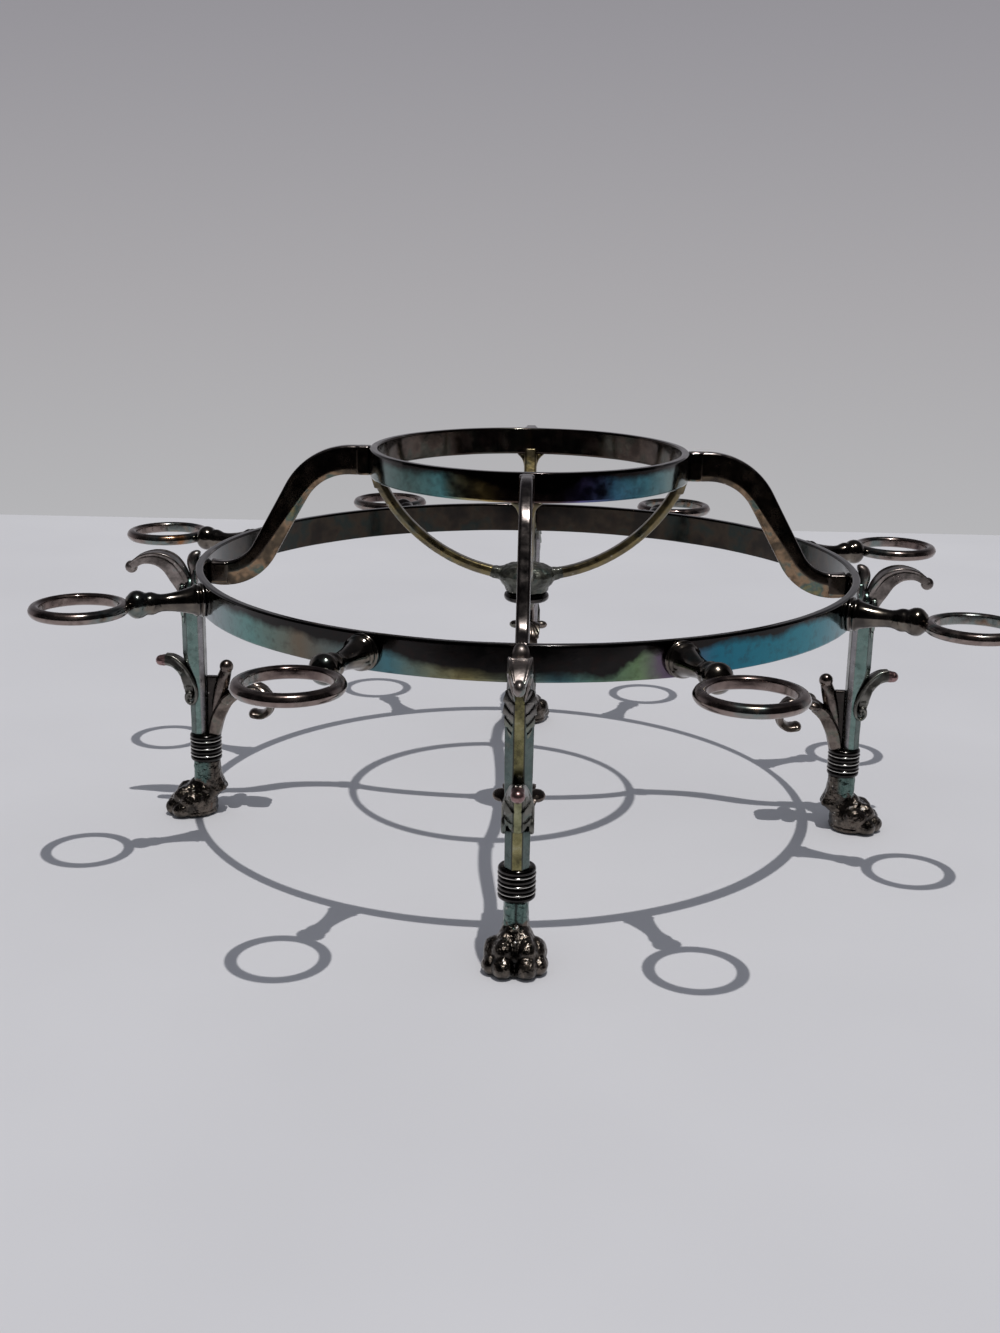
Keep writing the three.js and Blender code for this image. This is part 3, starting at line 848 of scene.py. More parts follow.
@dataclass(frozen=True, kw_only=True)
class ArmTarnish(TarnishedSilver):
    """The S-arms' colours: the upright sides dark brown, film and a painted reflection of the dim
    room, copper, teal and gold on the keel, and a painted grey highlight on the top.
    """

    # The upright sides: dark film and a painted reflection of the dim room.
    sides: Ramp
    side_patch_mm: float = 16.0
    side_film_and_reflection_edge: Edge = (-0.1, -0.04, 1.0)
    # A painted highlight: grey on the faces that look up.
    top: str = "#8d8480"
    top_highlight_edge: Edge = (0.2, 0.45, 0.8)

    def film_colour(self, paint: Paint) -> Socket:
        """The dark sides, partly painted reflection, over the keel's colours, and the painted grey highlight
        on top.

        Args:
            paint: The finish's tree.

        Returns:
            The film's colour.
        """
        cloud = paint.cloud(self.side_patch_mm, detail=4.0, shift=2.0)
        sides = paint.add("ValToRGB", (cloud,), stops=self.sides)
        # Which way a face looks: painted reflection on the upright sides, painted highlight on top.
        up = paint.add("SeparateXYZ", (paint.add("NewGeometry", out="Normal"),), 2)
        below = paint.lay(super().film_colour(paint), sides, (up, self.side_film_and_reflection_edge))
        return paint.lay(below, self.top, (up, self.top_highlight_edge))


HOOP_LOWER = HoopTarnish(
    "tarnished_silver_plate_lower_hoop",
    Slot.HOOP,
    patches=((0.3, "#15120f"), (0.42, "#241e18"), (0.5, "#352c22"), (0.58, "#212a27"), (0.7, "#3f362c")),
    patch_mm=18.0,
    round_outside=(
        (0.06, "#83828b"), (0.12, "#5f8a85"), (0.152, "#6f6252"), (0.195, "#48757e"), (0.225, "#847a50"),
        (0.265, "#3c666e"), (0.298, "#708a62"), (0.31, "#66506a"), (0.33, "#1f6c82"), (0.39, "#2e7f8d"),
        (0.44, "#5d7f84"), (0.55, "#6c6360"), (0.75, "#6b6352"), (0.9, "#5b8180"),
    ),
    # How far down the dark film and painted reflection reach, round the band.
    dark_reach_film_and_reflection=(
        (0.08, "#767676"), (0.14, "#a0a0a0"), (0.19, "#b3b3b3"), (0.21, "#d2d2d2"), (0.24, "#eeeeee"),
        (0.288, "#eaeaea"), (0.298, "#909090"), (0.33, "#909090"), (0.4, "#848484"), (0.5, "#767676"),
    ),
    top_mm=97.5,
    band_mm=11.3,
    line_wave_mm=2.8,
    # Dark film and a painted reflection of the dim room.
    dark="#1b1817",
    hollow="#2b1712",
    rough=(0.06, 0.2),
    grain_depth_mm=0.006,
)
HOOP_UPPER = HoopTarnish(
    "tarnished_silver_plate_upper_hoop",
    Slot.HOOP,
    patches=((0.3, "#332a26"), (0.45, "#54473f"), (0.55, "#4a4a42"), (0.7, "#6d5b54")),
    patch_mm=14.0,
    round_outside=(
        (0.02, "#626f6c"), (0.13, "#4f6a66"), (0.17, "#4d8082"), (0.205, "#cdb16a"), (0.23, "#6b5548"),
        (0.28, "#5a484a"), (0.305, "#6a6298"), (0.335, "#34617a"), (0.37, "#3c707b"), (0.41, "#6d8684"),
        (0.5, "#6c6a68"), (0.62, "#747a6e"), (0.75, "#5d4e4b"), (0.9, "#6b8688"),
    ),
    # How far down the dark film and painted reflection reach, round the band.
    dark_reach_film_and_reflection=((0.05, "#8a8a8a"), (0.2, "#8e8e8e"), (0.23, "#d8d8d8"), (0.275, "#d8d8d8"), (0.3, "#8c8c8c")),
    top_mm=137.05,
    band_mm=9.7,
    line_wave_mm=2.6,
    # Dark film and a painted reflection of the dim room.
    dark="#1d1817",
    hollow="#2b1712",
    rough=(0.06, 0.2),
    grain_depth_mm=0.006,
)
ARM_DARK_FILM_AND_REFLECTION = ArmTarnish(
    "black_tarnished_silver_arms",
    Slot.ARM,
    patches=(
        (0.32, "#352d25"), (0.43, "#5f5140"), (0.5, "#957a60"), (0.56, "#566962"), (0.62, "#837d58"),
        (0.7, "#a3846a"),
    ),
    patch_mm=12.0,
    # The upright sides: dark film and a painted reflection of the dim room.
    sides=((0.34, "#2b2420"), (0.46, "#3d332c"), (0.56, "#4a3f35"), (0.68, "#3a3f3a")),
    rubbed="#b9b3ad",
    rough=(0.1, 0.3),
    grain_depth_mm=0.008,
)
ARM_TURNED = TarnishedSilver(
    "dark_tarnished_silver_turned_arms",
    Slot.ARM,
    patches=((0.32, "#403b37"), (0.44, "#625b54"), (0.52, "#7d7469"), (0.6, "#6b7470"), (0.7, "#8d8578")),
    patch_mm=12.0,
    rubbed="#b9b3ad",
    hollow="#2a1a14",
    rough=(0.08, 0.22),
    grain_depth_mm=0.01,
    seed=2.0,
)
RIB_OLIVE = TarnishedSilver(
    "olive_tarnished_cast_silver_ribs",
    Slot.CAST,
    patches=((0.3, "#463f34"), (0.45, "#736850"), (0.55, "#8b7c54"), (0.65, "#686a5e"), (0.75, "#7b5f48")),
    patch_mm=12.0,
    rough=(0.26, 0.46),
    grain_mm=1.2,
    grain_depth_mm=0.07,
    hollow="#2a2823",
    seed=4.0,
)
HUB_GREY = TarnishedSilver(
    "rough_grey_cast_silver_hub",
    Slot.CAST,
    patches=((0.3, "#363631"), (0.45, "#565750"), (0.55, "#6c6c63"), (0.7, "#4e5b56")),
    patch_mm=4.0,
    rough=(0.42, 0.6),
    grain_mm=1.0,
    grain_depth_mm=0.12,
    hollow="#2c2b28",
    seed=6.0,
)
LEG_GREEN = LegTarnish(
    "verdigris_tarnished_silver_columns",
    Slot.LEG,
    patches=((0.3, "#4b5853"), (0.42, "#6f8780"), (0.52, "#8b9690"), (0.62, "#667c76"), (0.74, "#7f7869")),
    patch_mm=6.0,
    # Colours by facing: partly film, partly painted reflection.
    film_and_reflection_by_facing=(
        (0.06, "#5f5651"), (0.14, "#a69ea3"), (0.3, "#96938f"), (0.4, "#7a958e"), (0.6, "#7a958e"),
        (0.7, "#3b3937"), (0.9, "#54625f"), (0.97, "#848476"),
    ),
    facet=((0.32, "#49442e"), (0.45, "#7a744c"), (0.58, "#948d63"), (0.7, "#a5a284")),
    facet_half_mm=1.35,
    rough=(0.2, 0.38),
    hollow="#131412",
    rubbed="#c0beb2",
    seed=9.0,
)
LEAF_BROWN = LegTarnish(
    "brown_tarnished_silver_leaves",
    Slot.LEG,
    patches=((0.3, "#47423d"), (0.44, "#6c6862"), (0.54, "#85817a"), (0.64, "#6c7872"), (0.76, "#80705c")),
    patch_mm=5.0,
    # Colours by facing: partly film, partly painted reflection.
    film_and_reflection_by_facing=((0.1, "#6b6560"), (0.5, "#7c7d77"), (0.9, "#6f726a")),
    evenness=0.4,
    facet=((0.35, "#6d6c4c"), (0.5, "#8c8c69"), (0.65, "#9f9e7e")),
    facet_half_mm=1.1,
    # The leaves have no painted shade behind them.
    painted_pocket_shade_mm=None,
    hollow="#100e0b",
    rubbed="#b5b0a4",
    hollow_mm=1.6,
    rough=(0.28, 0.46),
    seed=11.0,
)
LEG_DARK = TarnishedSilver(
    "dark_tarnished_silver_leg_ornament",
    Slot.LEG,
    patches=((0.3, "#4b4440"), (0.44, "#7d746f"), (0.54, "#9b908b"), (0.64, "#7d8781"), (0.76, "#8a6a5b")),
    patch_mm=7.0,
    hollow="#120f0e",
    rubbed="#cfc9c2",
    rough=(0.26, 0.42),
    grain_depth_mm=0.03,
    seed=13.0,
)
INNER_BROWN = TarnishedSilver(
    "brown_tarnished_silver_inner_leaves",
    Slot.LEG,
    patches=((0.3, "#3f3833"), (0.44, "#6a5f58"), (0.54, "#857970"), (0.64, "#6f7066"), (0.76, "#7f6250")),
    patch_mm=5.0,
    hollow="#120f0e",
    rubbed="#bdb5ac",
    rough=(0.24, 0.42),
    grain_depth_mm=0.03,
    seed=12.0,
)
BUD_DARK = WebTarnish(
    "dark_tarnished_silver_crotch_buds",
    Slot.LEG,
    patches=((0.3, "#463d38"), (0.44, "#6d625c"), (0.54, "#877a73"), (0.64, "#6f7569"), (0.76, "#7f6350")),
    patch_mm=5.0,
    hollow="#1a1513",
    rubbed="#cfc9c2",
    rough=(0.2, 0.36),
    grain_depth_mm=0.03,
    seed=15.0,
)
BUTTON_BLACK = TarnishedSilver(
    "black_tarnished_silver_button",
    Slot.ARM,
    patches=((0.35, "#262322"), (0.5, "#3a3633"), (0.65, "#4c4743")),
    patch_mm=6.0,
    rubbed="#dedad3",
    hollow="#0e0c0b",
    seed=17.0,
)
COLLAR_BLACK = CollarTarnish(
    "black_tarnished_silver_collar",
    Slot.ARM,
    patches=((0.35, "#1f1d1c"), (0.5, "#2f2c2a"), (0.65, "#403c39")),
    patch_mm=6.0,
    rubbed="#dedad3",
    hollow="#0e0c0b",
    bottom_mm=20.3,
    pitch_mm=2.75,
    seed=17.0,
)
PAW_PEWTER = PawTarnish(
    "dark_pewter_tarnish_paws",
    Slot.PAW,
    patches=((0.32, "#2c2723"), (0.46, "#544d46"), (0.56, "#70665d"), (0.66, "#544b43"), (0.76, "#704a39")),
    patch_mm=3.5,
    shank=((0.3, "#3c4340"), (0.45, "#566f69"), (0.6, "#6b8079"), (0.72, "#565f5a")),
    inner=((0.35, "#2f2826"), (0.5, "#5c544c"), (0.65, "#6b625a"), (0.72, "#5a3a35")),
    hollow="#0b0a09",
    rubbed="#c5bfb6",
    hollow_mm=2.6,
    rough=(0.14, 0.3),
    grain_mm=1.3,
    grain_depth_mm=0.45,
    seed=21.0,
)
RING_MAUVE = TarnishedSilver(
    "mauve_tarnished_silver_rings",
    Slot.RING,
    patches=((0.3, "#5a4b49"), (0.42, "#84736d"), (0.52, "#9a8b84"), (0.6, "#7f8a87"), (0.7, "#a5744e")),
    patch_mm=15.0,
    rubbed="#d0cac6",
    rough=(0.12, 0.3),
    seed=25.0,
)


@dataclass(frozen=True)
class Casting:
    """How a piece is cast: its finest detail, how often it is evened, and its uneven skin."""

    voxel: float
    smoothing: int
    skin_depth: float = 0.0
    skin_grain: float = 1.0
    skin_seed: float = 0.0


class Bench:
    """Where shells become finished pieces on the frame."""

    def __init__(self) -> None:
        """Builds the trees once."""
        self.band = band_recipe()
        self.copies = copies_recipe()
        self.cast_skin = cast_skin_recipe()
        self.materials: dict[str, bpy.types.Material] = {}

    def material(self, finish: TarnishedSilver) -> bpy.types.Material:
        """The finish's material, made the first time it is asked for.

        Args:
            finish: The finish.

        Returns:
            The material.
        """
        if finish.name not in self.materials:
            self.materials[finish.name] = finish.material()
        return self.materials[finish.name]

    def fuse(self, piece: Piece, finish: TarnishedSilver, casting: Casting) -> None:
        """Melts a piece's overlapping surfaces into one soft casting.

        Args:
            piece: The piece.
            finish: Its finish.
            casting: How it is cast.
        """
        remesh = piece.modifiers.new("one_casting", "REMESH")
        remesh.mode = "VOXEL"
        remesh.voxel_size = casting.voxel * MM
        remesh.use_smooth_shade = True
        soften = piece.modifiers.new("softened", "SMOOTH")
        soften.factor = 0.5
        soften.iterations = casting.smoothing
        if casting.skin_depth:
            self.cast_skin.use_on(
                piece,
                Depth=casting.skin_depth * MM,
                Grain=casting.skin_grain * MM,
                Seed=casting.skin_seed,
                Finish=self.material(finish),
            )

    def repeat(
        self, piece: Piece, finish: TarnishedSilver, nodes: Sequence[str], each: int = 1, spread: float = 0.0
    ) -> None:
        """Repeats a piece on the four sides of the frame and puts it there.

        Args:
            piece: The piece, drawn on +X.
            finish: Its finish.
            nodes: The CAD nodes that it stands for.
            each: The copies on each side.
            spread: How far each of two copies stands from the side's middle, in degrees.
        """
        angles = {"Spread": math.radians(spread), "First": math.radians(FRONT_AZIMUTH)}
        self.copies.use_on(piece, Sides=len(SIDES), Each=each, Finish=self.material(finish), **angles)
        self.hand_over(piece, finish, nodes)

    def on_each_side(
        self, shell: Shell, node: str, finish: TarnishedSilver, casting: Casting | None = None
    ) -> None:
        """Makes a piece that each side of the frame has once.

        Args:
            shell: The piece's surfaces, on +X.
            node: What each side calls its CAD node.
            finish: The finish.
            casting: How it is cast, where it is one casting.
        """
        piece = shell.as_object(f"{node}_set")
        if casting is not None:
            self.fuse(piece, finish, casting)
        self.repeat(piece, finish, [f"{side}_{node}" for side in SIDES])

    def hand_over(self, piece: Piece, finish: TarnishedSilver, nodes: Sequence[str]) -> None:
        """Turns a piece into a plain mesh and puts it on the frame.

        Args:
            piece: The piece, with its modifiers.
            finish: Its finish.
            nodes: The CAD nodes that it stands for.
        """
        graph = bpy.context.evaluated_depsgraph_get()
        made = bpy.data.meshes.new_from_object(piece.evaluated_get(graph), depsgraph=graph)
        drawn = piece.data
        piece.modifiers.clear()
        piece.data = made
        bpy.data.meshes.remove(drawn)
        made.materials.clear()
        made.materials.append(self.material(finish))
        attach(piece, "root")
        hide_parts(*nodes)
        log.info("%s: %d faces, for %s", piece.name, len(made.polygons), ", ".join(nodes))


# The frame's pieces


@dataclass(frozen=True)
class Band:
    """A hoop's flat band: its outer radius, its section, its top edge and the steps round it."""

    node: str
    finish: HoopTarnish
    radius: float
    thickness: float
    height: float
    top: float
    steps: int


@dataclass
class Hoops:
    """The large hoop that the legs carry, and the small one for the bowl's rim."""

    bench: Bench
    lower: Band = Band("lower_hoop", HOOP_LOWER, 115.0, 2.7, 11.3, 97.5, 300)
    upper: Band = Band("upper_hoop", HOOP_UPPER, 55.0, 2.6, 9.7, 137.05, 200)
    edge: float = 0.55
    ripple: float = 0.16
    waves_per_metre: float = 60.0
    section_steps: int = 92

    def build(self) -> None:
        """Bends both bands and dresses them."""
        for band in (self.lower, self.upper):
            piece = Shell().ball((0, 0, 0), (1, 1, 1)).as_object(f"{band.node}_band")
            self.bench.band.use_on(
                piece,
                Radius=band.radius * MM,
                Thickness=band.thickness * MM,
                Height=band.height * MM,
                Top=band.top * MM,
                Edge=self.edge * MM,
                Ripple=self.ripple * MM,
                Waves=self.waves_per_metre,
                Round=band.steps,
                Section=self.section_steps,
                Finish=self.bench.material(band.finish),
            )
            self.bench.hand_over(piece, band.finish, [band.node])


@dataclass
class SArms:
    """The four S-shaped arms: flat bars on edge, keeled underneath, with a squared lug at each end."""

    bench: Bench
    start: float = 55.2
    end: float = 112.2
    height: float = 132.25
    run: float = 6.5
    upper_bend: float = 22.0
    lower_bend: float = 17.0
    slope: float = 61.0
    dip: float = 8.0
    tail_height: float = 90.85
    width: float = 4.2
    depth: float = 8.8

    def line(self) -> Array:
        """The arm's line: out, down in an S, and level again.

        Returns:
            Places along it.
        """
        upper = (self.start + self.run, self.height - self.upper_bend)
        first = arc(upper, self.upper_bend, 90, 90 - self.slope)
        fall, rise = math.radians(self.slope), math.radians(self.dip)
        drop = first[-1][1] - self.tail_height - self.lower_bend * (math.cos(rise) - math.cos(fall))
        reach = drop / math.sin(fall)
        foot = first[-1] + reach * np.array([math.cos(fall), -math.sin(fall)])
        lower = foot + self.lower_bend * np.array([math.sin(fall), math.cos(fall)])
        second = arc(lower, self.lower_bend, 270 - self.slope, 270 + self.dip)
        tail = second[-1]
        last = [self.end, tail[1] + (self.end - tail[0]) * math.tan(rise)]
        return np.vstack([[self.start - 0.3, self.height], first, second, last])

    def section(self, row: Array, t: float) -> Array:
        """The bar's outline: a flat top, upright sides and a keel.

        The bar is deepest at the upper hoop, and its keel grows from a thin lower edge into the
        whole lower half.

        Args:
            row: The place, which every outline gets and this one doesn't need.
            t: The share of the way.

        Returns:
            The outline.
        """
        half, deep = self.width / 2, self.depth / 2
        gone = np.clip(t / 0.5, 0, 1)
        more = 1 - gone**2 * (3 - 2 * gone)
        top, bottom = deep + 0.25 * more, -deep - 1.25 * more
        ridge = np.interp(t, [0.35, 0.72], [-0.68 * deep - 0.9 * more, 0.05 * deep])
        return fillet(
            [
                (-0.5 * half, bottom), (0.5 * half, bottom), (half, ridge), (0.97 * half, 0.86 * top),
                (0.74 * half, top), (-0.74 * half, top), (-0.97 * half, 0.86 * top), (-half, ridge),
            ],
            0.4,
        )

    def lug(self, low: tuple[float, float], high: tuple[float, float], width: float) -> Array:
        """A squared lug, drawn in a little at both ends.

        Args:
            low: Its inner lower corner in the radial plane.
            high: Its outer upper corner.
            width: Its width.

        Returns:
            Its rings.
        """
        (x0, z0), (x1, z1) = low, high
        middle = (0, (z0 + z1) / 2)
        face = fillet([(-width / 2, z0), (width / 2, z0), (width / 2, z1), (-width / 2, z1)], 0.5) - middle
        steps = ((x0, 0.9), (x0 + 0.25, 0.97), (x0 + 0.7, 1), (x1 - 0.7, 1), (x1 - 0.25, 0.97), (x1, 0.9))
        return np.array([np.insert(middle + face * shrink, 0, x, axis=1) for x, shrink in steps])

    def build(self) -> None:
        """Forges the arm and its lugs, and repeats them."""
        shell = Shell().sweep(even_rows(self.line(), 96), self.section)
        shell.skin(self.lug((55.2, 126.8), (59.6, 136.85), 5.0))
        shell.skin(self.lug((106.0, 87.4), (112.2, 94.9), 5.3))
        self.bench.on_each_side(shell, "s_arm", ARM_DARK_FILM_AND_REFLECTION, Casting(voxel=0.33, smoothing=1))


@dataclass
class BowlCradle:
    """The four ribs, the rough hub where they meet, and the button under it."""

    bench: Bench
    radius: float = 58.0
    floor: float = 92.0
    rib_width: float = 5.0
    rib_depth: float = 3.8
    hub_radius: float = 12.6
    hoop_bottom: float = 127.4
    foot_reach: float = 53.7
    button_radius: float = 8.0
    button_top: float = 86.3
    button_thickness: float = 3.2

    def rib_line(self, start: float, end: float, count: int) -> Array:
        """Even steps along the arc that the ribs follow, between two distances from the axis."""
        angles = [math.degrees(math.asin(reach / self.radius)) - 90 for reach in (start, end)]
        return even_rows(arc((0, self.floor + self.radius), self.radius, *angles, 40), count)

    def rib_section(self, width: float, depth: float) -> Array:
        """The rib's outline, of a width and a depth: a flat inner face and a keel below."""
        keel = [(-0.35, -1), (0.35, -1), (1, -0.1), (0.8, 1), (-0.8, 1), (-1, -0.1)]
        return fillet(np.array(keel) * (width / 2, depth / 2), 0.5)

    def build(self) -> None:
        """Casts the ribs and the hub, and turns the button."""
        self.ribs()
        self.hub()
        self.button()

    def ribs(self) -> None:
        """The ribs, each with a filleted foot under the upper hoop."""
        line = self.rib_line(self.hub_radius - 0.6, self.foot_reach + 0.3, 64)
        shell = Shell().sweep(line, lambda row, t: self.rib_section(self.rib_width, self.rib_depth))
        foot = (
            (0.1, 10.4, 2.5), (-0.5, 9.6, 2.5), (-1.1, 8.0, 2.6), (-2.0, 6.4, 2.7), (-3.4, 5.3, 2.9),
            (-5.2, 4.7, 3.0),
        )
        shell.stack(
            (self.hoop_bottom + up, padded(depth, width, 0.3) + (self.foot_reach + 0.3 * up, 0))
            for up, width, depth in foot
        )
        casting = Casting(voxel=0.34, smoothing=3, skin_depth=0.12, skin_grain=1.8, skin_seed=3.0)
        self.bench.on_each_side(shell, "cradle_rib", RIB_OLIVE, casting)

    def hub(self) -> None:
        """The hub: a hollow-sided cone with a stub towards each rib, left rough from the sand."""
        cone = [
            (CORE, 86.6), (7.3, 86.6), (7.6, 87.0), (7.9, 88.2), (9.0, 89.6), (10.1, 91.2), (10.3, 92.6),
            (9.6, 94.2), (7.4, 95.6), (4.0, 96.2), (CORE, 96.3),
        ]
        shell = Shell().turned(cone, 48)
        line = self.rib_line(2.0, self.hub_radius + 0.2, 14)
        stub = Shell().sweep(line, lambda row, t: self.rib_section(9.4 - 4.3 * t, 5.6 - 1.7 * t))
        for side in range(len(SIDES)):
            turn = np.array(Matrix.Rotation(math.radians(90 * side), 3, "Z"))
            shell.skin((stub.points[0] @ turn.T).reshape(len(line), -1, 3))
        piece = shell.as_object("cradle_hub_casting")
        casting = Casting(voxel=0.28, smoothing=8, skin_depth=1.0, skin_grain=2.6, skin_seed=8.0)
        self.bench.fuse(piece, HUB_GREY, casting)
        self.bench.hand_over(piece, HUB_GREY, ["cradle_hub"])

    def button(self) -> None:
        """The turned button, with a half-round rim and a small boss below."""
        half = self.button_thickness / 2
        rim = arc((self.button_radius - half, self.button_top - half), half, -90, 90, 12)
        bottom = self.button_top - self.button_thickness
        boss = [(CORE, bottom - 0.8), (2.9, bottom - 0.8), (3.3, bottom - 0.6), (3.5, bottom)]
        piece = Shell().turned([*boss, *rim, (CORE, self.button_top)], 72).as_object("hub_button_turning")
        self.bench.hand_over(piece, BUTTON_BLACK, ["hub_button"])


@dataclass
class VaseArms:
    """The eight turned arms on the lower hoop, and the ring for a small vase at the end of each."""

    bench: Bench
    hoop_radius: float = 115.0
    axis_height: float = 91.85
    spread: float = 23.7
    ring_reach: float = 154.7
    ring_outer: float = 16.08
    ring_inner: float = 12.2
    ring_height: float = 4.2

    def build(self) -> None:
        """Turns the arms and the rings, two on each side of the frame."""
        lie = Matrix.Translation((0, 0, self.axis_height)) @ Matrix.Rotation(math.pi / 2, 4, "Y")
        arm = Shell().turned(self.arm_profile(), 56, lie)
        end = Matrix.Translation((self.ring_reach, 0, self.axis_height))
        ring = Shell().turned(self.ring_profile(), 96, end, looped=True)
        for shell, node, finish in ((arm, "vase_arm", ARM_TURNED), (ring, "vase_ring", RING_MAUVE)):
            nodes = [f"{node}_{i}" for i in range(1, 9)]
            self.bench.repeat(shell.as_object(f"{node}_set"), finish, nodes, 2, self.spread)

    def arm_profile(self) -> Rows:
        """An arm's radius and reach: a double bead at the hoop, a long taper, and a knop at the ring.

        Returns:
            Radii, each with its reach.
        """
        rows = [
            (0, CORE), (0, 5.4), (0.15, 5.6), (0.9, 5.6), (1.15, 5.2), (1.35, 4.75), (1.6, 5.0), (2.0, 5.3),
            (2.45, 5.35), (2.9, 5.15), (3.3, 4.75), (3.8, 4.5), (5.2, 4.1), (7.4, 3.55), (10, 3.1),
            (12.0, 2.88), (13.6, 2.85), (14.8, 3.1), (15.8, 3.5), (16.7, 3.75), (17.6, 3.75), (18.3, 3.62),
            (18.8, 3.7), (19.4, 4.05), (20.3, 4.45), (21.4, 4.62), (22.4, 4.5), (23.3, 4.05), (24.0, 3.4),
            (24.8, 2.6), (25.4, CORE),
        ]
        return [(radius, self.hoop_radius + along) for along, radius in rows]

    def ring_profile(self) -> Rows:
        """A ring's section: flat inside, rounded outside.

        Returns:
            Its radii and heights.
        """
        half, inner, outer = self.ring_height / 2, self.ring_inner, self.ring_outer
        corners = [
            (inner, -0.66 * half), (inner + 1.2, -half), (outer - 0.9, -0.78 * half), (outer, 0),
            (outer - 0.9, 0.78 * half), (inner + 1.2, half), (inner, 0.66 * half),
        ]
        return fillet(corners, 0.9, 5)


@dataclass(frozen=True)
class CastLeaf:
    """A thick cast leaf on a line: a mid-rib, slanting grooves and notched edges that point ahead.

    Its rows hold a place, a width and a depth, and its face is on the right of travel.
    """

    rows: tuple[tuple[float, float, float, float], ...]
    lobes: float
    notch: float
    rib_half: float
    rib_proud: float
    groove: float
    slant: float
    start: float = 0.0
    end: float = 1.0
    crown: float = 0.45
    valley_half: float = 0.35
    cut_half: float = 0.085
    swell: float = 0.35

    def outline(self, row: Array, t: float) -> Array:
        """The leaf's outline.

        Args:
            row: The place, the width and the depth.
            t: The share of the way.

        Returns:
            The outline: the face from side to side, and then the round back.
        """
        width, depth = row[2], row[3]
        inside = self.start <= t <= self.end
        phase = self.lobes * t
        if inside:
            width = width * (1 - self.notch + 1.6 * self.notch * (phase % 1) ** 0.8)
        s = np.linspace(-1, 1, 41)
        aside = s * width / 2
        face = 0.5 * depth * (1 - self.crown * s**2)
        rib = self.rib_proud * np.exp(-((aside / self.rib_half) ** 6))
        off_rib = np.abs(aside) - 1.35 * self.rib_half
        valley = 0.5 * self.groove * np.exp(-((off_rib / self.valley_half) ** 2))
        turn = (phase + self.slant * (1 - np.abs(s))) % 1
        near = np.minimum(turn, 1 - turn)
        carved = self.groove * inside * (np.abs(aside) > self.rib_half)
        cut = carved * np.exp(-((near / self.cut_half) ** 2))
        swell = self.swell * carved * np.sin(np.pi * turn)
        front = np.column_stack([aside, -(face + rib - valley - cut + swell)])
        b = np.linspace(1, -1, 17)[1:-1]
        back = np.column_stack([b * width / 2, 0.5 * depth * np.sqrt(1 - b**2) ** 0.8])
        return np.vstack([front, back])


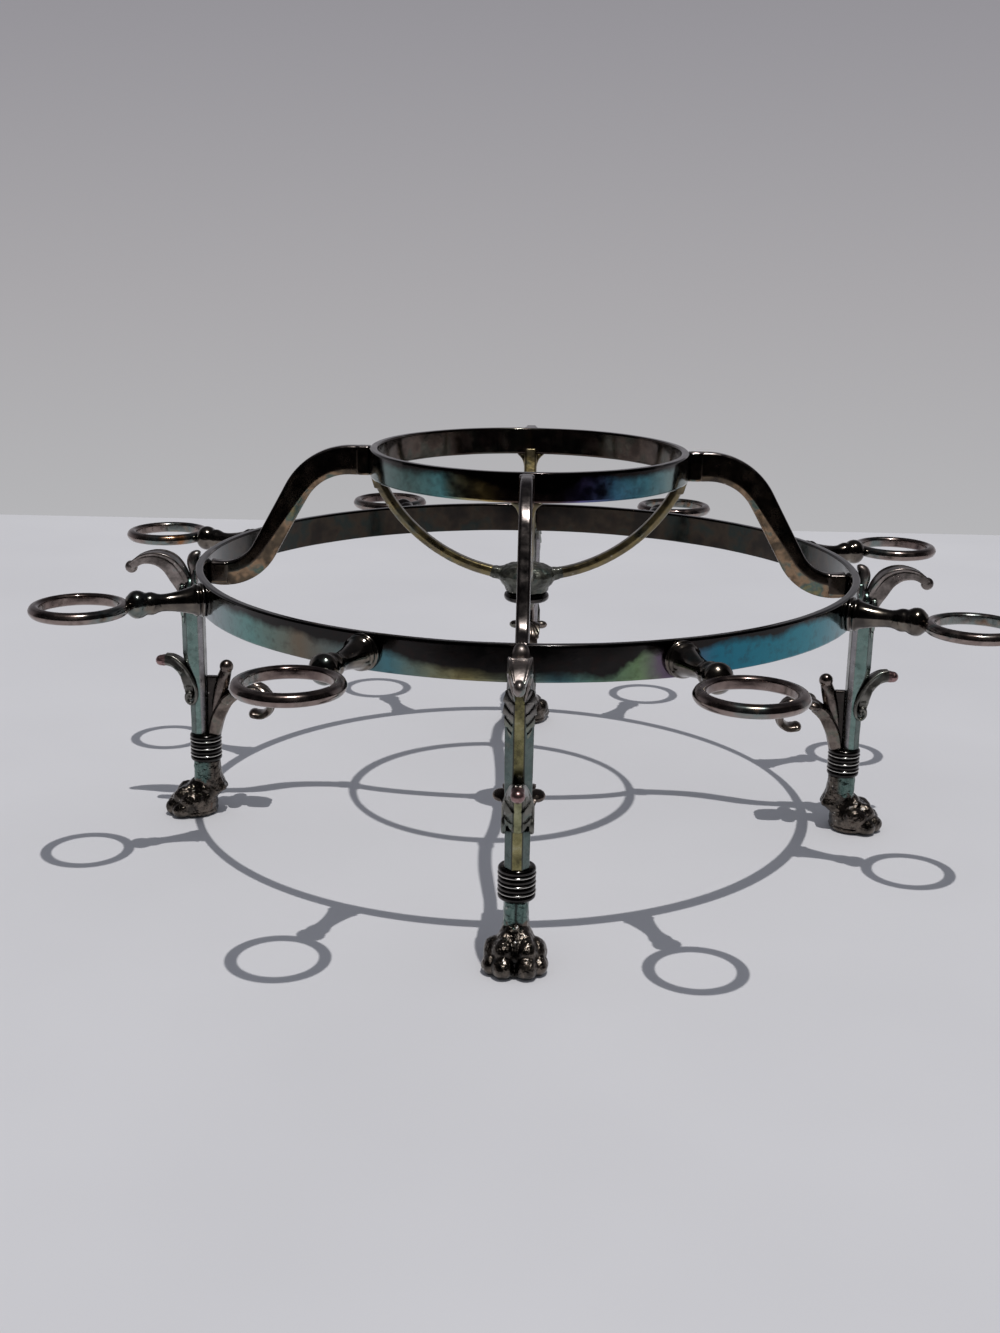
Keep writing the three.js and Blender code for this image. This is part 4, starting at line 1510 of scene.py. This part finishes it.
@dataclass
class Legs:
    """The four legs: a column with scrolls and leaves, a collar of rolls, and a lion's paw."""

    bench: Bench
    inner_face: float = 115.25
    shoulder: float = 84.5
    collar_reach: float = 116.2
    collar_bottom: float = 20.3
    collar_top: float = 31.3
    rolls: int = 4
    sole: float = 0.25
    shank_square: float = 3.2
    tufts: int = 14
    tuft_depth: float = 0.045
    tuft_twist: float = 0.25
    tuft_top: float = 17.5
    tuft_fade: float = 6.0
    cleft_depth: float = 0.1
    cleft_half: float = 0.05

    def build(self) -> None:
        """Casts each part of the leg and repeats it on the four sides."""
        self.column()
        self.top_scroll()
        self.top_bud()
        self.outer_leaf()
        self.inner_leaf()
        self.inner_bud()
        self.collar()
        self.paw()

    def column(self) -> None:
        """The column, its bracket on the hoop, and the calyx under the top scroll."""
        stations = np.array(
            [
                (30.9, 121.1, 7.4), (36, 121.0, 7.45), (40, 121.1, 7.5), (43, 121.0, 7.6), (46, 120.4, 7.7),
                (49, 120.1, 7.8), (52, 120.5, 7.9), (55, 121.6, 8.0), (58, 122.7, 8.1), (61, 123.1, 8.2),
                (75, 123.1, 8.4), (84.5, 123.1, 8.6),
            ]
        )
        face = self.inner_face

        def section(z: float) -> Array:
            """The column's section at a height, with its narrow middle facet outside.

            Args:
                z: The height.

            Returns:
                The outline.
            """
            outer, width = (np.interp(z, stations[:, 0], stations[:, i]) for i in (1, 2))
            half = width / 2
            right = [(face, half - 1.7), (face + 1.6, half), (outer - 2.2, half), (outer, 1.6)]
            return fillet([(x, -y) for x, y in right] + right[::-1], 0.3)

        def bracket(width: float) -> Array:
            """The bracket's section."""
            right = [(face, width / 2), (face + 2.4, width / 2), (face + 3.9, 0.3 * width)]
            return fillet([(x, -y) for x, y in right] + right[::-1], 0.4)

        shell = Shell().stack((z, section(z)) for z in np.linspace(30.9, self.shoulder, 120))
        levels = ((82.0, 8.2), (88.0, 7.6), (91.4, 6.6), (92.0, 6.2))
        shell.stack((z, bracket(width)) for z, width in levels)
        shell.ball((119.6, 0, 85.6), (2.4, 3.3, 3.4))
        calyx = CastLeaf(
            (
                (122.0, 86.4, 8.0, 2.6), (122.1, 84.4, 9.0, 2.6), (122.1, 81.0, 9.4, 2.5),
                (122.0, 77.2, 8.8, 2.3), (121.9, 74.0, 7.0, 2.1), (121.8, 71.0, 4.0, 1.8),
            ),
            lobes=4.2, notch=0.08, rib_half=1.5, rib_proud=0.2, groove=0.3, slant=-1.5,
        )
        shell.sweep(smooth_rows(calyx.rows, 110), lambda row, t: calyx.outline(row, t) * (1, -1))
        self.bench.on_each_side(shell, "leg_column", LEG_GREEN)

    def top_scroll(self) -> None:
        """The scroll that rises from the shoulder, arches out and droops to a ball."""
        rows = [
            (121.8, 83.9, 3.6, 4.4), (123.3, 88.6, 5.4, 6.3), (126.4, 93.5, 7.2, 6.0),
            (130.8, 95.7, 7.0, 4.8), (135.8, 95.4, 5.6, 3.5), (139.4, 93.4, 3.9, 2.8),
            (140.5, 92.5, 3.2, 2.4),
        ]
        right = np.array(
            [
                (0.0, 0.88), (0.56, 0.86), (0.7, 0.88), (0.78, 0.98), (0.92, 1.0), (1.0, 0.9), (1.0, 0.62),
                (0.92, 0.52), (0.92, 0.46), (1.0, 0.38), (1.0, -0.84), (0.92, -1.0), (0.72, -1.0),
                (0.58, -0.66), (0.3, -0.5), (0.0, -0.45),
            ]
        )
        # A strap with a smooth back and a fine rim along it, hollow on its underside.
        strap = np.vstack([right, (right * (-1, 1))[-2:0:-1]])
        shell = Shell().sweep(smooth_rows(rows, 90), lambda row, t: strap * row[2:] / 2)
        shell.ball((140.6, 0, 92.1), (2.25, 1.75, 2.25))
        self.bench.on_each_side(shell, "leg_top_scroll", LEG_DARK, Casting(voxel=0.22, smoothing=1))

    def top_bud(self) -> None:
        """The small horn between the top scroll and the hoop, curled in at its tip."""
        rows = [
            (117.6, 86.0, 5.0, 3.4), (117.7, 90.5, 5.8, 4.2), (118.3, 94.0, 5.8, 4.6),
            (118.0, 96.0, 5.2, 4.3), (116.9, 97.0, 4.2, 3.4), (115.9, 96.9, 3.0, 2.4),
        ]
        shell = Shell().sweep(smooth_rows(rows, 50), lambda row, t: oval(row[2], row[3]))
        self.bench.on_each_side(shell, "leg_top_bud", LEG_DARK, Casting(voxel=0.24, smoothing=2))

    def outer_leaf(self) -> None:
        """The leaf that peels away from the column, edged with a cord that ends in a C scroll."""
        leaf = CastLeaf(
            (
                (121.2, 43.0, 3.0, 1.2), (121.2, 45.0, 5.6, 2.4), (121.2, 47.5, 7.6, 3.6),
                (121.6, 51, 8.3, 4.3), (123.2, 54.7, 7.3, 4.3), (126.0, 57.2, 5.6, 4.3),
                (128.9, 58.1, 4.6, 4.0), (131.0, 57.9, 4.1, 3.8),
            ),
            lobes=3.4, notch=0.06, rib_half=1.15, rib_proud=0.25, groove=0.8, slant=1.1,
            start=0.14, end=0.74,
        )
        cord = [
            (129.6, 59.8), (126.6, 59.2), (123.4, 56.9), (120.7, 53.7), (118.8, 50.0), (118.2, 46.6),
            (118.9, 43.8), (120.4, 42.9), (121.7, 44.2), (121.7, 46.2), (120.6, 46.9), (119.9, 46.0),
        ]
        shell = Shell().sweep(
            smooth_rows(cord, 110), lambda row, t: oval(1.6, 1.4, 12) + (0.8 + 3.25 * min(1, t / 0.5), 0)
        )
        shell.ball((120.3, 4.0, 45.2), (0.75, 0.85, 0.85)).mirrored()
        shell.sweep(smooth_rows(leaf.rows, 130), leaf.outline)
        core = np.array(leaf.rows)[1:-1] * (1, 1, 0.86, 0.9) - (0.25, 0, 0, 0)
        shell.sweep(smooth_rows(core, 70), lambda row, t: padded(row[2], 0.55 * row[3]) + (0, 0.22 * row[3]))
        shell.ball((131.4, 0, 57.8), (1.95, 2.1, 1.95))
        self.bench.on_each_side(shell, "leg_outer_leaf", LEAF_BROWN, Casting(voxel=0.2, smoothing=1))

    def inner_leaf(self) -> None:
        """The leaf on the inner side, which arches in from the collar and rolls under."""
        leaf = CastLeaf(
            (
                (112.9, 30.9, 6.8, 5.0), (111.4, 37, 7.2, 5.2), (108.5, 42.8, 8.4, 4.4),
                (104, 46.9, 11.2, 3.4), (98, 48.3, 10.6, 2.9), (93.2, 45.6, 9.2, 2.7),
                (92.2, 41.2, 8.8, 2.7), (94.6, 38.4, 8.4, 2.8), (98.2, 38.4, 7.8, 2.8),
            ),
            lobes=4.0, notch=0.12, rib_half=0.8, rib_proud=0.3, groove=0.75, slant=0.9,
            start=0.3, end=0.86,
        )
        shell = Shell().sweep(smooth_rows(leaf.rows, 150), leaf.outline)
        flute = smooth_rows([(111.4, 31.2), (109.5, 37), (106.6, 42.4), (103.4, 45.6)], 50)
        sides = Shell().ball((103.2, 5.4, 47.8), (2.6, 2.6, 1.7), 18)
        sides.sweep(flute, lambda row, t: oval(1.3, 1.5, 12) + (2.5, 0))
        shell.add(sides.mirrored())
        shell.ball((98.2, 0, 38.5), (1.9, 3.9, 1.7))
        self.bench.on_each_side(shell, "leg_inner_leaf", INNER_BROWN, Casting(voxel=0.28, smoothing=1))

    def inner_bud(self) -> None:
        """The bud in the crotch of the leg: a web that fills the crotch, a finger and its ball."""
        web = [
            (31.0, 113.8, 2.6), (36, 112.9, 2.8), (40, 111.0, 2.8), (44, 109.0, 2.6), (48, 107.8, 2.4),
            (50.6, 107.6, 2.4), (51.8, 108.2, 2.3), (52.4, 109.2, 2.2),
        ]
        face = self.inner_face
        shell = Shell().stack(
            (z, padded(face - 0.12 - inner, width) + ((inner + face) / 2, 0))
            for z, inner, width in smooth_levels(web, 70)
        )
        finger = [
            (113.4, 36.5, 2.6, 1.6), (112.0, 41.5, 4.2, 3.4), (110.3, 46.5, 5.2, 5.0),
            (109.1, 51.0, 5.2, 5.0), (108.2, 54.0, 4.6, 4.4), (107.9, 55.6, 4.0, 4.0),
        ]
        shell.sweep(smooth_rows(finger, 60), lambda row, t: oval(row[2], row[3]))
        shell.ball((107.8, 0, 56.0), (2.5, 2.5, 2.5))
        self.bench.on_each_side(shell, "leg_inner_bud", BUD_DARK, Casting(voxel=0.24, smoothing=1))

    def collar(self) -> None:
        """The collar: four dark rolls with a fillet between each pair, where its finish paints a bright
        highlight.
        """
        pitch = (self.collar_top - self.collar_bottom) / self.rolls
        fillet_line = ((5.0, -0.34), (5.6, -0.3), (5.84, 0.0), (5.6, 0.3), (5.0, 0.34))
        profile = [(CORE, self.collar_bottom)]
        for roll in range(self.rolls):
            middle = self.collar_bottom + (roll + 0.5) * pitch
            profile += arc((4.7, middle), 1.0, -86, 86, 10).tolist()
            if roll < self.rolls - 1:
                profile += [(radius, middle + pitch / 2 + up) for radius, up in fillet_line]
        profile.append((CORE, self.collar_top))
        shell = Shell().turned(profile, 72, Matrix.Translation((self.collar_reach, 0, 0)))
        self.bench.on_each_side(shell, "leg_collar", COLLAR_BLACK)

    def shank(self, z: float, inner: float, outer: float, width: float) -> Array:
        """The shank's section, fluted like fur towards its foot, with a cleft behind.

        Args:
            z: Its height.
            inner: Its inner reach.
            outer: Its outer reach.
            width: Its width.

        Returns:
            The outline.
        """
        angle = np.linspace(0, 2 * np.pi, 96, endpoint=False)
        way = np.column_stack([np.cos(angle), np.sin(angle)])
        square = (np.abs(way) ** self.shank_square).sum(axis=1) ** (-1 / self.shank_square)
        fade = self.tuft_depth * np.clip((self.tuft_top - z) / self.tuft_fade, 0, 1)
        fur = 1 - fade * (0.5 + 0.5 * np.cos(self.tufts * angle + self.tuft_twist * z)) ** 2
        fur -= self.cleft_depth * np.exp(-((np.sin(angle / 2) / self.cleft_half) ** 2))
        return way * (square * fur)[:, None] * ((outer - inner) / 2, width / 2) + ((inner + outer) / 2, 0)

    def paw(self) -> None:
        """The lion's paw: the shank, one broad foot on a thin sole, and four toes of soft knuckles."""
        stations = [
            (20.7, 111.4, 120.7, 7.4), (15, 110.8, 120.7, 7.6), (11.4, 109.4, 120.9, 8.0),
            (9.6, 108.9, 121, 8.6), (8.4, 110.6, 121.4, 9), (5, 113.8, 122, 9.2), (1.4, 115.0, 122, 9.2),
        ]
        shell = Shell().stack((row[0], self.shank(*row)) for row in smooth_levels(stations, 60)[::-1])
        shell.ball((120.3, 0, 4.4), (7.7, 8.4, 7.2))
        shell.ball((118.4, 0, 8.8), (5.4, 5.2, 5.2), 12)
        shell.ball((116.9, 0, 3.2), (3.9, 6.1, 4.4))
        shell.ball((120.8, 0, 1.4), (8.3, 8.6, 3.0))
        toes = Shell().ball((121.2, 2.6, 8.8), (3.6, 2.9, 3.0), 30)
        toes.ball((124.2, 3.4, 6.9), (4.2, 3.4, 3.7), 30)
        toes.ball((127.0, 3.5, 3.2), (4.2, 3.4, 3.5), 10)
        toes.ball((120.9, 6.0, 5.6), (4.7, 3.5, 4.0), 20)
        toes.ball((124.2, 6.9, 2.9), (3.9, 3.0, 3.1), 14)
        shell.add(toes.mirrored())
        shell.points = [np.maximum(points, (-np.inf, -np.inf, self.sole)) for points in shell.points]
        casting = Casting(voxel=0.28, smoothing=4, skin_depth=0.95, skin_grain=2.2, skin_seed=5.0)
        self.bench.on_each_side(shell, "leg_paw", PAW_PEWTER, casting)


@dataclass
class Studio:
    """A plain pale table top, one key light, a pale surround, a dark curved card, and the camera.

    The card stands for the dim room in front of the object and beside it. Polished metal shows it in
    what faces the camera, above the near edge of the table top. Sizes without mm are in metres.
    """

    table_half_width: float = 0.95
    table_near: float = -0.42
    table_far: float = 0.575
    mottle_mm: float = 167.0
    key_angle: float = 0.55
    key_strength: float = 2.0
    key_from: Three = (0.0933, -0.2426, 1)
    soft_light: float = 0.36
    card_radius: float = 0.93
    card_low: float = -0.6
    card_high: float = 1.3
    card_from: float = -188.0
    card_to: float = 8.0
    card_steps: int = 32
    lens_mm: float = 43.265
    sensor_mm: float = 36
    eye: Three = (0.00552, -0.55345, 0.2157)
    turns: tuple[tuple[float, str], ...] = ((1.5, "Z"), (74.13, "X"), (0.91, "Z"))

    def build(self) -> None:
        """Sets up the studio."""
        self.table_top()
        self.dark_card()
        self.key()
        self.pale_surround()
        self.camera()

    def sheet(self, name: str, corners: Rows, faces: Rows, material: bpy.types.Material) -> Piece:
        """A staged sheet, in metres.

        Args:
            name: Its name.
            corners: Its points.
            faces: The points round each face.
            material: Its material.

        Returns:
            The sheet.
        """
        mesh = bpy.data.meshes.new(name)
        mesh.from_pydata([tuple(corner) for corner in corners], [], faces)
        mesh.materials.append(material)
        made = bpy.data.objects.new(name, mesh)
        bpy.context.scene.collection.objects.link(made)
        return made

    def table_top(self) -> None:
        """A pale painted table top, faintly mottled."""
        painted = bpy.data.materials.new("pale_painted_board")
        paint = Paint.of(painted)
        cloud = paint.add("TexNoise", {"Vector": paint.place, "Scale": 1 / self.mottle_mm, "Detail": 3.0})
        tone = paint.add("ValToRGB", (cloud,), stops=((0.3, "#d0cecf"), (0.7, "#d6d4d5")))
        board = {"Base Color": tone, "Roughness": 0.6, "Specular IOR Level": 0.2}
        paint.add("OutputMaterial", (paint.add("BsdfPrincipled", board),))
        wide, near, far = self.table_half_width, self.table_near, self.table_far
        corners = [(-wide, near, 0), (wide, near, 0), (wide, far, 0), (-wide, far, 0)]
        self.sheet("table_top", corners, [(0, 1, 2, 3)], painted)

    def dark_card(self) -> None:
        """The dark card behind the camera and at both sides, seen only in the metal."""
        felt = bpy.data.materials.new("dark_felt")
        tree = Tree.of(felt)
        tree.add("OutputMaterial", (tree.add("BsdfDiffuse", {"Color": linear("#2c2a2b")}),))
        steps = self.card_steps
        ring = arc((0, 0), self.card_radius, self.card_from, self.card_to, steps)
        corners = [(x, y, z) for z in (self.card_low, self.card_high) for x, y in ring]
        faces = [(i, i + 1, i + steps + 2, i + steps + 1) for i in range(steps)]
        card = self.sheet("dark_card", corners, faces, felt)
        card.visible_camera = False
        card.visible_diffuse = False
        card.visible_shadow = False

    def key(self) -> None:
        """The key light, high and a little in front."""
        lamp = bpy.data.lights.new("key", "SUN")
        lamp.energy = self.key_strength
        lamp.angle = math.radians(self.key_angle)
        light = bpy.data.objects.new("key", lamp)
        light.rotation_euler = Vector(self.key_from).to_track_quat("Z", "Y").to_euler()
        bpy.context.scene.collection.objects.link(light)

    def pale_surround(self) -> None:
        """Pale round the horizon and dim overhead in the metal and to the camera, soft for the rest."""
        world = bpy.data.worlds.new("pale_surround")
        tree = Tree.of(world)
        up = tree.add("SeparateXYZ", (tree.add("TexCoord", out="Generated"),), 2)
        stops = ((0.1, "#b7b7b9"), (0.25, "#a9a7aa"), (0.4, "#97959a"), (0.65, "#737277"), (0.92, "#333337"))
        sky = tree.add("ValToRGB", (tree.add("Math ADD", (up, 0.3)),), stops=stops)
        path = tree.add("LightPath").node.outputs
        direct = tree.add("Math MAXIMUM", (path["Is Camera Ray"], path["Is Glossy Ray"]))
        shown = tree.add("Math MAXIMUM", (direct, path["Is Transmission Ray"]))
        seen = tree.add("Background", (sky, 1.0))
        soft = tree.add("Background", (linear("#e8eefc"), self.soft_light))
        tree.add("OutputWorld", (tree.add("MixShader", (shown, soft, seen)),))
        bpy.context.scene.world = world

    def camera(self) -> None:
        """The camera, at the photograph's angle."""
        lens = bpy.data.cameras.new("camera")
        lens.lens = self.lens_mm
        lens.sensor_width = self.sensor_mm
        eye = bpy.data.objects.new("camera", lens)
        place = Matrix.Translation(self.eye)
        for degrees, axis in self.turns:
            place = place @ Matrix.Rotation(math.radians(degrees), 4, axis)
        eye.matrix_world = place
        bpy.context.scene.collection.objects.link(eye)
        bpy.context.scene.camera = eye
        bpy.context.scene.view_settings.view_transform = "Standard"


def main() -> None:
    """Builds the studio and the frame's pieces in order."""
    logging.basicConfig(level=logging.INFO, format="%(message)s")
    Studio().build()
    bench = Bench()
    Hoops(bench).build()
    SArms(bench).build()
    BowlCradle(bench).build()
    VaseArms(bench).build()
    Legs(bench).build()


if __name__ == "__main__":
    main()
